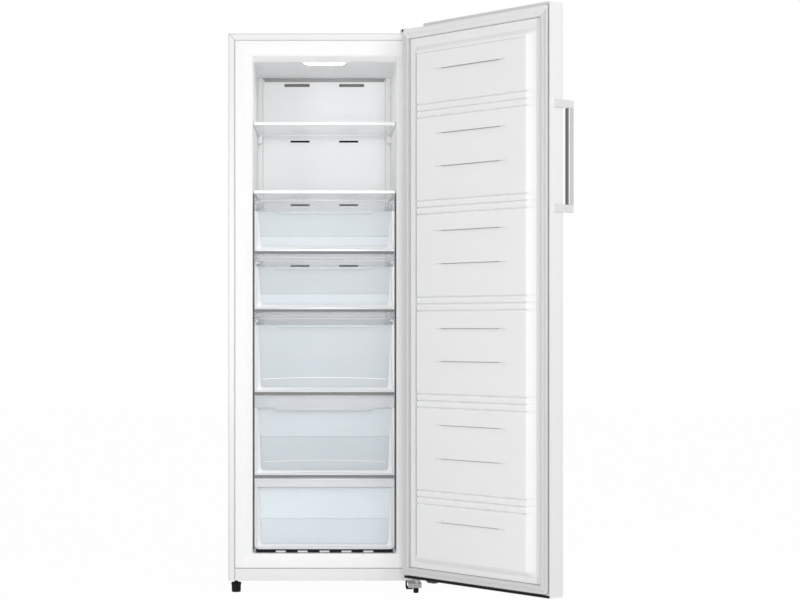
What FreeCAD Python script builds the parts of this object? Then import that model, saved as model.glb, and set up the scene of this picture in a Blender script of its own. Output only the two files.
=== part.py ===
"""Upright freezer with an open door, two glass shelves and five clear drawers.

Millimetres, +Z up. The row frame has its origin under the front left foot, +X to the right
and +Y towards the back. The pieces are drawn in a working frame that has X = 0 at the middle of
the cabinet, Y = 0 at the cabinet's front plane and Z = 0 on the floor, and are placed from there.
The door's pieces are drawn closed, about the hinge axis, and are turned open by their Placement.
"""
import FreeCAD, Part
import math
import operator
import os
from types import SimpleNamespace

import Sketcher

SIZES = {
    # cabinet
    "cabinet_width": 595.0,
    "cabinet_depth": 590.0,
    "cabinet_height": 1695.0,
    "floor_gap": 39.0,
    "sheet": 1.0,
    "front_fold": 20.0,
    "corner_round": 3.0,
    "side_wall": 77.5,
    "top_wall": 85.0,
    "floor_wall": 85.0,
    "back_wall": 80.0,
    "liner_skin": 2.0,
    "mouth_depth": 25.0,
    "mouth_side_flare": 23.0,
    "mouth_top_flare": 17.0,
    "mouth_floor_flare": 1.5,
    "seam": 0.5,
    "kick_height": 37.0,
    "kick_thick": 1.8,
    "plate_steel": 1.5,
    "plate_fold": 18.0,
    # compressor bay and the step that it makes in the cavity
    "bay_depth": 290.0,
    "bay_height": 251.0,
    "step_wall": 55.0,
    "step_side_wall": 60.0,
    "rear_cover_thick": 2.0,
    "rear_cover_edge": 12.0,
    "cover_slot_wide": 90.0,
    "cover_slot_tall": 6.0,
    "cover_slot_pitch": 18.0,
    "cover_slot_count": 6.0,
    # air duct
    "duct_side_gap": 19.0,
    "duct_stand": 113.0,
    "duct_thick": 23.0,
    "duct_top_gap": 13.0,
    "duct_corner": 8.0,
    "crown_inset": 4.0,
    "crown_thick": 6.0,
    "duct_bottom_gap": 16.0,
    "pillar_gap": 2.0,
    "pillar_step": 10.0,
    "slot_inner": 49.0,
    "slot_top_long": 83.0,
    "slot_top_tall": 10.0,
    "slot_top_drop": 11.0,
    "slot_long": 63.0,
    "slot_tall": 6.5,
    "slot_first_drop": 198.0,
    "slot_pitch": 210.0,
    "slot_rows": 3.0,
    # light
    "lens_front": 28.0,
    "lens_deep": 64.0,
    "lens_front_half": 76.0,
    "lens_back_half": 56.0,
    "lens_tall": 3.2,
    "lens_wall": 1.2,
    "lens_corner": 9.0,
    "board_half": 42.0,
    "board_deep": 26.0,
    "board_thick": 1.4,
    # shelves
    "front_line": 12.0,
    "shelf_back_gap": 9.0,
    "glass_thick": 4.0,
    "glass_side_gap": 1.5,
    "shelf_pitch": 212.0,
    "trim_deep": 14.0,
    "trim_wall": 3.0,
    "trim_under": 3.5,
    "trim_over": 2.0,
    "ledge_wide": 14.0,
    "ledge_tall": 8.0,
    # drawers
    "drawer_floor_gap": 11.0,
    "drawer_gap": 10.5,
    "shelf_drawer_gap": 2.5,
    "bottom_drawer_tall": 219.5,
    "deep_drawer_tall": 247.0,
    "middle_drawer_tall": 170.0,
    "top_drawer_tall": 176.5,
    "front_side_gap": 2.7,
    "front_thick": 17.0,
    "panel_thick": 4.0,
    "grip_side_tall": 38.0,
    "grip_middle_tall": 47.0,
    "grip_middle_half": 150.0,
    "grip_slant": 12.0,
    "grip_lip": 4.0,
    "grip_pocket_inset": 50.0,
    "grip_top_wall": 8.0,
    "border_top": 5.0,
    "border_bottom": 15.0,
    "border_rim": 3.0,
    "basket_side_gap": 17.0,
    "basket_wall": 2.0,
    "basket_round": 22.0,
    "basket_back_gap": 12.0,
    "bottom_basket_back_gap": 10.0,
    "basket_rim_drop": 18.0,
    "basket_lift": 4.0,
    "basket_lip": 14.0,
    "lip_thick": 2.5,
    "rail_wide": 13.0,
    "rail_tall": 8.0,
    "slide_gap": 0.3,
    "runner_count": 5.0,
    "runner_pitch": 68.0,
    "runner_wide": 31.0,
    # door
    "door_angle": 131.0,
    "door_thick": 59.0,
    "door_sill": 18.0,
    "door_rise": 10.0,
    "hinge_inset": 14.0,
    "hinge_reach": 52.0,
    "gasket_gap": 12.0,
    "door_fold": 13.0,
    "door_corner": 4.0,
    "top_cap_tall": 18.0,
    "bottom_cap_tall": 8.0,
    "hinge_notch_long": 84.0,
    "hinge_notch_deep": 9.0,
    "gasket_inset": 5.0,
    "gasket_end_inset": 13.0,
    "gasket_wide": 21.0,
    "gasket_shoulder": 9.0,
    "gasket_step": 1.2,
    "gasket_relief": 0.3,
    "gasket_base": 4.0,
    # raised field of the door liner
    "field_side": 76.0,
    "field_hinge_side": 71.0,
    "field_top": 88.0,
    "field_bottom": 73.0,
    "field_rise": 16.0,
    "field_slope": 24.0,
    "field_free_slope": 36.0,
    "field_skin": 6.0,
    "groove_deep": 3.5,
    "groove_half": 4.4,
    "groove_pitch": 20.0,
    "group_pitch": 291.4,
    "group_count": 5.0,
    "pad_half": 160.0,
    "pad_tall": 48.0,
    "pad_sink": 2.5,
    "pad_spread": 50.0,
    "end_pad_shift": 4.0,
    # handle
    "handle_bottom": 1150.0,
    "handle_tall": 320.0,
    "block_tall": 22.0,
    "block_thick": 6.0,
    "block_start": 18.0,
    "bar_stand": 19.0,
    "bar_deep": 18.0,
    "bar_wide": 15.0,
    "bar_round": 1.5,
    # hinges
    "pin_radius": 4.0,
    "run_gap": 0.05,
    "bush_radius": 8.0,
    "bush_long": 24.0,
    "hinge_plate": 3.0,
    "hinge_joggle": 5.0,
    "hinge_half_wide": 11.0,
    "hinge_back": 60.0,
    "joggle_back": 12.0,
    "joggle_front": 5.0,
    "pin_margin": 13.0,
    "hood_left": 61.0,
    "hood_front": 2.0,
    "hood_deep": 72.0,
    "hood_tall": 16.0,
    "hood_wall": 2.0,
    "hood_round": 4.0,
    "leaf_wide": 41.0,
    "leaf_web": 14.0,
    "collar_radius": 10.0,
    "collar_gap": 0.3,
    "bush_flange": 4.0,
    "bush_flange_radius": 12.0,
    "stop_start": 67.0,
    "stop_long": 28.0,
    "stop_deep": 25.0,
    "stop_tall": 12.0,
    # feet and rollers
    "left_foot_x": 22.5,
    "left_foot_y": 37.0,
    "left_foot_radius": 15.5,
    "left_foot_tall": 30.0,
    "right_foot_x": 13.5,
    "right_foot_y": 11.0,
    "right_foot_radius": 9.5,
    "right_foot_tall": 24.0,
    "foot_taper": 2.0,
    "stud_radius": 5.0,
    "stud_rise": 12.0,
    "foot_bracket_low": 12.0,
    "foot_bracket_long": 60.0,
    "roller_radius": 18.0,
    "roller_wide": 18.0,
    "roller_inset": 47.5,
    "roller_back": 45.0,
    "axle_radius": 4.0,
    "cheek_gap": 1.0,
    "cheek_thick": 2.0,
    "cheek_half": 14.0,
    # evaporator and fan
    "fin_count": 8.0,
    "fin_side_gap": 36.0,
    "fin_thick": 1.0,
    "fin_low": 640.0,
    "fin_tall": 180.0,
    "fin_front_gap": 12.0,
    "fin_back_gap": 0.0,
    "coil_radius": 4.5,
    "coil_overhang": 14.0,
    "coil_levels": 3.0,
    "coil_level_pitch": 60.0,
    "coil_deep": 36.0,
    "coil_fit": 0.1,
    "heater_radius": 6.0,
    "heater_drop": 24.0,
    "heater_post": 8.0,
    "fan_lift": 150.0,
    "fan_radius": 56.0,
    "fan_hub_radius": 14.0,
    "fan_hub_long": 22.0,
    "fan_blades": 7.0,
    "blade_thick": 1.5,
    "blade_pitch_angle": 32.0,
    "blade_chord": 22.0,
    "motor_radius": 24.0,
    "motor_long": 32.0,
    "motor_hub_gap": 8.0,
    "shaft_radius": 1.5,
    "shroud_side_gap": 11.0,
    "shroud_tall": 180.0,
    "shroud_thick": 3.0,
    "shroud_stand": 32.0,
    "shroud_hole_gap": 6.0,
    # machine parts in the bay
    "machine_x": -90.0,
    "machine_back_gap": 142.0,
    "machine_radius": 92.0,
    "machine_tall": 165.0,
    "weld_flange": 4.0,
    "seam_share": 0.45,
    "shoulder_share": 0.7,
    "crown_share": 0.78,
    "pipe_share": 0.6,
    "grommet_radius": 12.0,
    "grommet_tall": 13.0,
    "grommet_span_x": 190.0,
    "grommet_span_y": 120.0,
    "foot_plate_thick": 3.0,
    "foot_plate_margin": 16.0,
    "relay_wide": 40.0,
    "relay_deep": 60.0,
    "relay_tall": 70.0,
    "relay_lift": 45.0,
    "tray_half_x": 80.0,
    "tray_half_y": 62.0,
    "tray_tall": 22.0,
    "tray_wall": 2.0,
    "pipe_radius": 4.0,
    "pipe_reach": 40.0,
    "tube_sides": 8.0,
    "dryer_radius": 9.0,
    "dryer_long": 90.0,
    "dryer_neck": 3.0,
    "dryer_x": 60.0,
    "dryer_low": 110.0,
    "control_x": 120.0,
    "control_wide": 130.0,
    "control_deep": 70.0,
    "control_tall": 110.0,
    "control_back_gap": 60.0,
    "control_wall": 2.5,
    "gland_x": 190.0,
    "gland_z": 110.0,
    "gland_radius": 11.0,
    "gland_out": 8.0,
    "gland_bore": 4.0,
    "gland_neck": 8.0,
    "near": 0.4,
}


class Size:
    """A length that knows its value and the spreadsheet formula that gives it."""

    def __init__(self, value, formula):
        self.value = float(value)
        self.formula = formula

    def combine(self, other, sign, action, swapped=False):
        left, right = (size(other), self) if swapped else (self, size(other))
        return Size(action(left.value, right.value), f"({left.formula} {sign} {right.formula})")

    def __add__(self, other):
        return self.combine(other, "+", operator.add)

    def __radd__(self, other):
        return self.combine(other, "+", operator.add, True)

    def __sub__(self, other):
        return self.combine(other, "-", operator.sub)

    def __rsub__(self, other):
        return self.combine(other, "-", operator.sub, True)

    def __mul__(self, other):
        return self.combine(other, "*", operator.mul)

    def __rmul__(self, other):
        return self.combine(other, "*", operator.mul, True)

    def __truediv__(self, other):
        return self.combine(other, "/", operator.truediv)

    def __neg__(self):
        return self.combine(-1, "*", operator.mul)

    def __float__(self):
        return self.value


def size(value):
    return value if isinstance(value, Size) else Size(value, repr(float(value)))


s = SimpleNamespace(**{name: Size(value, f"Sizes.{name}") for name, value in SIZES.items()})

doc = FreeCAD.newDocument("UprightFreezer")
sheet = doc.addObject("Spreadsheet::Sheet", "Sizes")
for row, (alias, value) in enumerate(SIZES.items(), 1):
    sheet.set(f"A{row}", alias)
    sheet.set(f"B{row}", str(value))
    sheet.setAlias(f"B{row}", alias)
doc.recompute()

# places that several pieces share, in the working frame
half_width = s.cabinet_width / 2
base_z = s.floor_gap
top_z = base_z + s.cabinet_height
back_y = s.cabinet_depth
kick_top = base_z + s.kick_height
cavity_x = half_width - s.side_wall
cavity_top = top_z - s.top_wall
cavity_floor = base_z + s.floor_wall
cavity_back = back_y - s.back_wall
plate_top = base_z + s.plate_steel
bay_front = back_y - s.bay_depth
bay_top = base_z + s.bay_height
step_front = bay_front - s.step_wall
step_top = bay_top + s.step_side_wall
duct_x = cavity_x - s.duct_side_gap
duct_front = cavity_back - s.duct_stand
duct_back = duct_front + s.duct_thick
duct_top = cavity_top - s.duct_top_gap
duct_bottom = step_top + s.duct_bottom_gap
shelf_front = s.front_line
shelf_back = duct_front - s.shelf_back_gap
fins_x = duct_x - s.fin_side_gap
panel_back = s.front_line + s.front_thick

left_foot_x = -half_width + s.left_foot_x
right_foot_x = half_width - s.right_foot_x
hinge_x = half_width - s.hinge_inset
hinge_y = -s.hinge_reach

# the door, seen from its own frame on the hinge axis
door_inner = s.hinge_reach - s.gasket_gap
door_outer = door_inner - s.door_thick
door_hinge_edge = s.hinge_inset
door_free_edge = s.hinge_inset - s.cabinet_width
door_bottom = base_z + s.door_sill
door_top = top_z + s.door_rise
skin_bottom = door_bottom + s.bottom_cap_tall
skin_top = door_top - s.top_cap_tall
notch_floor = door_top - s.hinge_notch_deep

PLANES = {"XY": "XY_Plane", "XZ": "XZ_Plane", "YZ": "YZ_Plane"}
AXES = {
    "X": FreeCAD.Rotation(FreeCAD.Vector(0, 1, 0), 90),
    "Y": FreeCAD.Rotation(FreeCAD.Vector(1, 0, 0), -90),
    "Z": FreeCAD.Rotation(),
}
NODES = []


def bind(thing, path, value):
    """Tie one property of an object to the spreadsheet."""
    thing.setExpression(path, size(value).formula)


def move(thing, x, y, z, rotation=None):
    thing.Placement = FreeCAD.Placement(FreeCAD.Vector(*map(float, (x, y, z))), rotation or AXES["Z"])
    for letter, value in zip("xyz", (x, y, z)):
        bind(thing, f"Placement.Base.{letter}", value)
    return thing


def box(x, y, z):
    """A block between the low and the high value of each direction."""
    block = doc.addObject("Part::Box", "Block")
    for side, (low, high) in zip(("Length", "Width", "Height"), (x, y, z)):
        bind(block, side, high - low)
    return move(block, x[0], y[0], z[0])


def cylinder(centre, radius, length, axis="Z"):
    """A rod that starts at centre and runs along the axis."""
    rod = doc.addObject("Part::Cylinder", "Rod")
    bind(rod, "Radius", radius)
    bind(rod, "Height", length)
    return move(rod, *centre, AXES[axis])


def frustum(y, x_low, x_high, z_low, z_high):
    """A block whose front and back faces differ; each pair is the value at y[0] and at y[1]."""
    wedge = doc.addObject("Part::Wedge", "Taper")
    for side, value in zip(
        ("Ymin", "Ymax", "Xmin", "X2min", "Xmax", "X2max", "Zmin", "Z2min", "Zmax", "Z2max"),
        (*y, *x_low, *x_high, *z_low, *z_high),
    ):
        bind(wedge, side, value)
    return wedge


def fuse(*pieces):
    joined = doc.addObject("Part::MultiFuse", "Joined")
    joined.Shapes = list(pieces)
    return joined


def group(*pieces):
    gathered = doc.addObject("Part::Compound", "Group")
    gathered.Links = list(pieces)
    return gathered


def cut(base, *tools):
    result = doc.addObject("Part::Cut", "Trimmed")
    result.Base = base
    result.Tool = tools[0] if len(tools) == 1 else fuse(*tools)
    return result


def new_sketch(body, plane, offset, outline):
    """A closed outline on one of the body's own planes, each corner tied to the spreadsheet."""
    sketch = body.newObject("Sketcher::SketchObject", "Outline")
    origin_plane = next(f for f in body.Origin.OriginFeatures if f.Role == PLANES[plane])
    sketch.AttachmentSupport = (origin_plane, [""])
    sketch.MapMode = "FlatFace"
    bind(sketch, "AttachmentOffset.Base.z", -offset if plane == "XZ" else offset)
    count = len(outline)
    for index, (across, up) in enumerate(outline):
        next_across, next_up = outline[(index + 1) % count]
        start = FreeCAD.Vector(float(across), float(up), 0)
        end = FreeCAD.Vector(float(next_across), float(next_up), 0)
        sketch.addGeometry(Part.LineSegment(start, end), False)
    for index in range(count):
        sketch.addConstraint(Sketcher.Constraint("Coincident", index, 2, (index + 1) % count, 1))
    for index, corner in enumerate(outline):
        for kind, value in zip(("DistanceX", "DistanceY"), corner):
            number = sketch.addConstraint(Sketcher.Constraint(kind, -1, 1, index, 1, float(value)))
            bind(sketch, f"Constraints[{number}]", value)
    return sketch


def pad(body, plane, span, outline):
    """Solid between the two values of span, which run along the plane's normal."""
    low, high = map(size, span)
    feature = body.newObject("PartDesign::Pad", "Pad")
    feature.Profile = new_sketch(body, plane, high if plane == "XZ" else low, outline)
    bind(feature, "Length", high - low)
    return feature


def pocket(body, plane, span, outline):
    """The same as pad, taken away."""
    low, high = map(size, span)
    feature = body.newObject("PartDesign::Pocket", "Pocket")
    feature.Profile = new_sketch(body, plane, low if plane == "XZ" else high, outline)
    bind(feature, "Length", high - low)
    return feature


def prism(plane, span, outline):
    body = doc.addObject("PartDesign::Body", "Body")
    pad(body, plane, span, outline)
    return body


def turned(outline):
    """A solid of revolution about Z from an outline of (radius, height) corners."""
    body = doc.addObject("PartDesign::Body", "Body")
    feature = body.newObject("PartDesign::Revolution", "Turning")
    feature.Profile = new_sketch(body, "XZ", size(0), outline)
    feature.ReferenceAxis = (feature.Profile[0], ["V_Axis"])
    feature.Angle = 360
    return body


def edges_where(shape, test):
    """Names of the straight edges whose direction and middle pass the test."""
    names = []
    for index, edge in enumerate(shape.Edges, 1):
        ends = [vertex.Point for vertex in edge.Vertexes]
        if len(ends) == 2:
            direction = (ends[1] - ends[0]).normalize()
            if test(direction, (ends[0] + ends[1]) / 2):
                names.append(f"Edge{index}")
    return names


def round_edges(body, radius, test):
    doc.recompute()
    base = body.Tip
    names = edges_where(base.Shape, test)
    feature = body.newObject("PartDesign::Fillet", "Rounding")
    feature.Base = (base, names)
    bind(feature, "Radius", radius)
    return body


def along(letter):
    index = "XYZ".index(letter)
    return lambda direction, middle: abs(direction[index]) > 0.999


def rectangle(across, up):
    return [(across[0], up[0]), (across[1], up[0]), (across[1], up[1]), (across[0], up[1])]


def tube(points, radius):
    """A tube of eight flats along a route of corners, mitred where it turns."""
    route = [FreeCAD.Vector(*map(float, point)) for point in points]
    start = route[1] - route[0]
    sides = round(float(s.tube_sides))
    aside = FreeCAD.Vector(0, 0, 1) if abs(start.z) < start.Length / 2 else FreeCAD.Vector(1, 0, 0)
    spoke = start.cross(aside).normalize() * float(radius)
    corners = [
        route[0] + FreeCAD.Rotation(start, 360.0 * index / sides).multVec(spoke) for index in range(sides)
    ]
    section = Part.makePolygon(corners + corners[:1])
    right_corner = 1
    piece = doc.addObject("Part::Feature", "Tube")
    piece.Shape = Part.makePolygon(route).makePipeShell([section], True, False, right_corner)
    return piece


def node(label, piece, place="cabinet", at=(0, 0, 0), rotation=None):
    """Name a finished piece and put it in the row frame."""
    if piece.TypeId == "Part::Box":
        piece = group(piece)
    piece.Label = label
    x, y, z = at
    if place == "cabinet":
        move(piece, x - left_foot_x, y - s.left_foot_y, z, rotation)
    else:
        opened = FreeCAD.Rotation(FreeCAD.Vector(0, 0, 1), float(s.door_angle))
        move(piece, hinge_x - left_foot_x, hinge_y - s.left_foot_y, z, opened)
        bind(piece, "Placement.Rotation.Angle", s.door_angle)
    NODES.append(piece)
    return piece


def both(value):
    """The pair from minus the value to plus the value."""
    return (-value, value)


def roller_places():
    inset = half_width - s.roller_inset
    return (("left_roller", -inset), ("right_roller", inset))


def roller_forks():
    """The cheeks that hold each roller's axle under the base plate."""
    y, z, drop = back_y - s.roller_back, s.roller_radius, s.axle_radius * 2
    forks = []
    for _, x in roller_places():
        reach = s.roller_wide / 2 + s.cheek_gap + s.cheek_thick
        room = reach - s.cheek_thick
        span = (y - s.cheek_half, y + s.cheek_half)
        block = box((x - reach, x + reach), span, (z - drop, base_z + s.plate_steel / 2))
        inside = box((x - room, x + room), (span[0] - 1, span[1] + 1), (z - drop - 1, base_z))
        hole = cylinder((x - reach - 1, y, z), s.axle_radius, 2 * reach + 2, "X")
        forks.append(cut(block, inside, hole))
    return forks


def make_cabinet():
    block = prism("XZ", (0, back_y), rectangle(both(half_width), (base_z, top_z)))
    round_edges(block, s.corner_round, lambda way, mid: abs(way.y) > 0.999 and mid.z > float(base_z) + 1)
    hollow = box(both(half_width - s.sheet), (s.sheet, back_y + 1), (base_z - 1, top_z - s.sheet))
    mouth_x = both(half_width - s.front_fold)
    mouth = box(mouth_x, (-s.sheet, 2 * s.sheet), (base_z - 1, top_z - s.front_fold))
    node("outer_shell", cut(block, hollow, mouth))

    inside = both(half_width - s.sheet)
    node("back_panel", box(inside, (back_y - s.sheet, back_y), (bay_top, top_z - s.sheet)))

    front, rear = size(s.kick_thick), back_y - s.rear_cover_thick
    plate = prism("YZ", inside, [
        (front, base_z), (rear, base_z), (rear, base_z + s.plate_fold),
        (rear - s.plate_steel, base_z + s.plate_fold), (rear - s.plate_steel, plate_top),
        (front + s.plate_steel, plate_top), (front + s.plate_steel, base_z + s.plate_fold),
        (front, base_z + s.plate_fold),
    ])
    stud_hole = s.stud_radius + s.run_gap
    holes = [
        cylinder((x, y, base_z - 1), stud_hole, s.plate_steel + 2)
        for x, y in ((left_foot_x, s.left_foot_y), (right_foot_x, s.right_foot_y))
    ]
    node("base_plate", fuse(cut(plate, *holes), *roller_forks()))

    strip_x = both(half_width - s.front_fold - s.seam)
    node("kick_strip", box(strip_x, (size(0), s.kick_thick), (base_z + s.seam, kick_top)))


def drawer_levels():
    """Bottom and top of each drawer front, from the top drawer down."""
    levels, low = [], cavity_floor + s.drawer_floor_gap
    for tall in (
        s.bottom_drawer_tall, s.deep_drawer_tall, s.deep_drawer_tall,
        s.middle_drawer_tall, s.top_drawer_tall,
    ):
        levels.append((low, low + tall))
        low = low + tall + s.drawer_gap
    return levels[::-1]


def shelf_levels():
    """Underside of each shelf's glass, from the top shelf down."""
    lower = drawer_levels()[0][1] + s.shelf_drawer_gap + s.trim_under
    return [lower + s.shelf_pitch, lower]


def basket_back(number):
    return step_front - s.bottom_basket_back_gap if number == 5 else duct_front - s.basket_back_gap


def side_bars(inner, y, z):
    """A pair of bars that stand inwards from both side walls of the cavity."""
    return [box((cavity_x - inner, cavity_x), y, z), box((-cavity_x, inner - cavity_x), y, z)]


def make_liner_and_foam():
    skin = s.liner_skin
    side, flare = cavity_x, s.mouth_side_flare
    walls = box(
        both(side + skin), (s.mouth_depth, cavity_back + skin), (cavity_floor - skin, cavity_top + skin)
    )

    def mouth(extra):
        return frustum(
            (0, s.mouth_depth), (-side - flare - extra, -side - extra), (side + flare + extra, side + extra),
            (cavity_floor - s.mouth_floor_flare - extra, cavity_floor - extra),
            (cavity_top + s.mouth_top_flare + extra, cavity_top + extra),
        )

    flange_x = half_width - s.front_fold - s.seam
    flange = box(both(flange_x), (size(0), skin), (kick_top + s.seam, top_z - s.front_fold - s.seam))
    step_hollow = box(
        both(side + 2 * skin), (step_front + skin, cavity_back + 2 * skin),
        (cavity_floor - 2 * skin, step_top - skin),
    )
    envelope = cut(fuse(walls, mouth(skin), flange), step_hollow)

    space = box(both(side), (s.mouth_depth, cavity_back), (cavity_floor, cavity_top))
    step = box(both(side + skin), (step_front, cavity_back + skin), (cavity_floor - skin, step_top))
    bars = []
    for number, (low, high) in enumerate(drawer_levels(), 1):
        rail_top = high - s.basket_rim_drop - s.lip_thick - s.slide_gap
        rail_y = (panel_back + s.basket_wall, basket_back(number))
        bars += side_bars(s.rail_wide, rail_y, (rail_top - s.rail_tall, rail_top))
    for level in shelf_levels():
        ledge_y = (panel_back + s.basket_wall, shelf_back)
        bars += side_bars(s.ledge_wide, ledge_y, (level - s.ledge_tall, level))
    pillar = side - duct_x - s.pillar_gap
    bars += side_bars(pillar, (duct_front - skin, cavity_back), (step_top, cavity_top))
    bars += side_bars(pillar + s.pillar_step, (duct_back, cavity_back), (step_top, cavity_top))
    shell = cut(envelope, cut(space, step), mouth(0))
    node("inner_liner", fuse(shell, *bars))

    block_z = (base_z + s.plate_fold + s.seam, top_z - s.sheet)
    block = box(both(half_width - s.sheet), (skin, back_y - s.sheet), block_z)
    bay = box(both(half_width), (bay_front, back_y + 1), (base_z, bay_top))
    node("cabinet_foam", cut(block, envelope, bay))


def make_duct():
    body = prism("XZ", (duct_front, duct_back), rectangle(both(duct_x), (duct_bottom, duct_top)))
    round_edges(body, s.duct_corner, lambda way, mid: abs(way.y) > 0.999 and mid.z > float(duct_top) - 1)
    span = (duct_front - 1, duct_back + 1)
    high = duct_top - s.slot_top_drop + s.slot_top_tall / 2
    for side in (1, -1):
        start, end = side * s.slot_inner, side * (s.slot_inner + s.slot_top_long)
        pocket(body, "XZ", span, rectangle((start, end), (high - s.slot_top_tall, high)))
    doc.recompute()
    first = duct_top - s.slot_first_drop
    for side in (1, -1):
        start, end = side * s.slot_inner, side * (s.slot_inner + s.slot_long)
        slot = pocket(body, "XZ", span, rectangle((start, end), (first, first + s.slot_tall)))
        rows = body.newObject("PartDesign::LinearPattern", "SlotRows")
        rows.Originals = [slot]
        rows.Direction = (slot.Profile[0], ["V_Axis"])
        rows.Reversed = True
        bind(rows, "Length", s.slot_pitch * (s.slot_rows - 1))
        bind(rows, "Occurrences", s.slot_rows)
        body.Tip = rows
    crown = box(
        both(duct_x - s.crown_inset), (duct_back - s.crown_thick, duct_back),
        (duct_top - s.duct_corner, cavity_top - s.slide_gap),
    )
    node("duct_cover", fuse(body, crown))


def make_evaporator():
    fins_y = (duct_back + s.fin_front_gap, cavity_back - s.fin_back_gap)
    fins_z = (s.fin_low, s.fin_low + s.fin_tall)
    count = round(float(s.fin_count))
    pitch = 2 * fins_x / (s.fin_count - 1)
    fins = [
        box((i * pitch - fins_x, i * pitch - fins_x + s.fin_thick), fins_y, fins_z)
        for i in range(count)
    ]
    middle_y = (fins_y[0] + fins_y[1]) / 2
    columns = (middle_y - s.coil_deep / 2, middle_y + s.coil_deep / 2)
    levels = round(float(s.coil_levels))
    first = s.fin_low + s.fin_tall / 2 - s.coil_level_pitch * (s.coil_levels - 1) / 2
    reach = fins_x + s.coil_overhang
    route, side = [], -1
    runs = [(columns[0], first + i * s.coil_level_pitch) for i in range(levels)]
    runs += [(columns[1], z) for _, z in reversed(runs)]
    for y, z in runs:
        route += [(side * reach, y, z), (-side * reach, y, z)]
        side = -side
    drill = s.coil_radius + s.coil_fit
    drills = [box(both(reach), (y - drill, y + drill), (z - drill, z + drill)) for y, z in runs]
    node("evaporator_fins", cut(group(*fins), group(*drills)))
    node("evaporator_coil", tube(route, s.coil_radius))

    heater_z = s.fin_low - s.heater_drop
    rod = cylinder((-fins_x, middle_y, heater_z), s.heater_radius, 2 * fins_x, "X")
    posts = [
        box(
            (x, x + s.heater_post), (middle_y - s.heater_post, cavity_back),
            (heater_z - s.heater_radius - s.slide_gap, heater_z + s.heater_radius + s.slide_gap),
        )
        for x in (-fins_x, fins_x - s.heater_post)
    ]
    node("defrost_heater", fuse(rod, *posts))


def make_fan():
    z = s.fin_low + s.fin_tall + s.fan_lift
    shroud_front = duct_back + s.shroud_stand
    shroud_back = shroud_front + s.shroud_thick
    low, high = z - s.shroud_tall / 2, z + s.shroud_tall / 2
    lip = high - s.shroud_thick
    plate = prism("YZ", both(duct_x - s.shroud_side_gap), [
        (shroud_front, low), (shroud_back, low), (shroud_back, high),
        (duct_back, high), (duct_back, lip), (shroud_front, lip),
    ])
    hole = cylinder((0, duct_back, z), s.fan_radius + s.shroud_hole_gap, 2 * s.shroud_stand, "Y")
    node("fan_shroud", cut(plate, hole))

    motor_front = cavity_back - s.motor_long
    hub_back = motor_front - s.motor_hub_gap
    hub_front = hub_back - s.fan_hub_long
    shaft_long = s.fan_hub_long + s.motor_hub_gap
    shaft = cylinder((0, hub_front + s.shroud_thick, z), s.shaft_radius, shaft_long, "Y")
    body = cylinder((0, motor_front, z), s.motor_radius, s.motor_long, "Y")
    node("fan_motor", fuse(body, shaft))

    hub = cylinder((0, hub_front, z), s.fan_hub_radius, s.fan_hub_long, "Y")
    bore = cylinder((0, hub_front + s.shroud_thick, z), s.shaft_radius + s.run_gap, s.fan_hub_long, "Y")
    blades = []
    for index in range(round(float(s.fan_blades))):
        blade = doc.addObject("Part::Box", "Blade")
        bind(blade, "Length", s.fan_radius - s.fan_hub_radius / 2)
        bind(blade, "Width", s.blade_chord)
        bind(blade, "Height", s.blade_thick)
        turn = FreeCAD.Rotation(FreeCAD.Vector(0, 1, 0), 360.0 * index / float(s.fan_blades))
        pitch = FreeCAD.Rotation(FreeCAD.Vector(1, 0, 0), float(s.blade_pitch_angle))
        start = FreeCAD.Vector(*map(float, (s.fan_hub_radius / 2, -s.blade_chord / 2, -s.blade_thick / 2)))
        whole = turn.multiply(pitch)
        middle = FreeCAD.Vector(0, float(hub_front + s.fan_hub_long / 2), float(z))
        blade.Placement = FreeCAD.Placement(middle + whole.multVec(start), whole)
        blades.append(blade)
    node("fan_blade", cut(fuse(hub, *blades), bore))


def make_light():
    y_front, y_back = s.lens_front, s.lens_front + s.lens_deep
    outline = [
        (-s.lens_front_half, y_front), (s.lens_front_half, y_front),
        (s.lens_back_half, y_back), (-s.lens_back_half, y_back),
    ]
    body = prism("XY", (cavity_top - s.lens_tall, cavity_top), outline)
    round_edges(body, s.lens_corner, along("Z"))
    wall = s.lens_wall
    hollow = [
        (wall * 2 - s.lens_front_half, y_front + wall), (s.lens_front_half - wall * 2, y_front + wall),
        (s.lens_back_half - wall * 2, y_back - wall), (wall * 2 - s.lens_back_half, y_back - wall),
    ]
    inside = prism("XY", (cavity_top - s.lens_tall + wall, cavity_top + 1), hollow)
    round_edges(inside, s.lens_corner - wall, along("Z"))
    node("light_lens", cut(body, inside))
    middle = y_front + s.lens_deep / 2
    board_y = (middle - s.board_deep / 2, middle + s.board_deep / 2)
    node("led_board", box(both(s.board_half), board_y, (cavity_top - s.board_thick, cavity_top)))


def make_shelves():
    for number, level in enumerate(shelf_levels(), 1):
        glass_front = shelf_front + s.trim_wall
        glass_x = both(cavity_x - s.glass_side_gap)
        over = level + s.glass_thick
        node(f"shelf_{number}_glass", box(glass_x, (glass_front, shelf_back), (level, over)))
        back = shelf_front + s.trim_deep
        node(f"shelf_{number}_trim", prism("YZ", glass_x, [
            (shelf_front, level - s.trim_under), (back, level - s.trim_under), (back, level),
            (glass_front, level), (glass_front, over), (back, over),
            (back, over + s.trim_over), (shelf_front, over + s.trim_over),
        ]))


def make_drawers():
    for number, (low, high) in enumerate(drawer_levels(), 1):
        make_drawer_front(number, low, high)
        make_basket(number, low, high)


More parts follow.
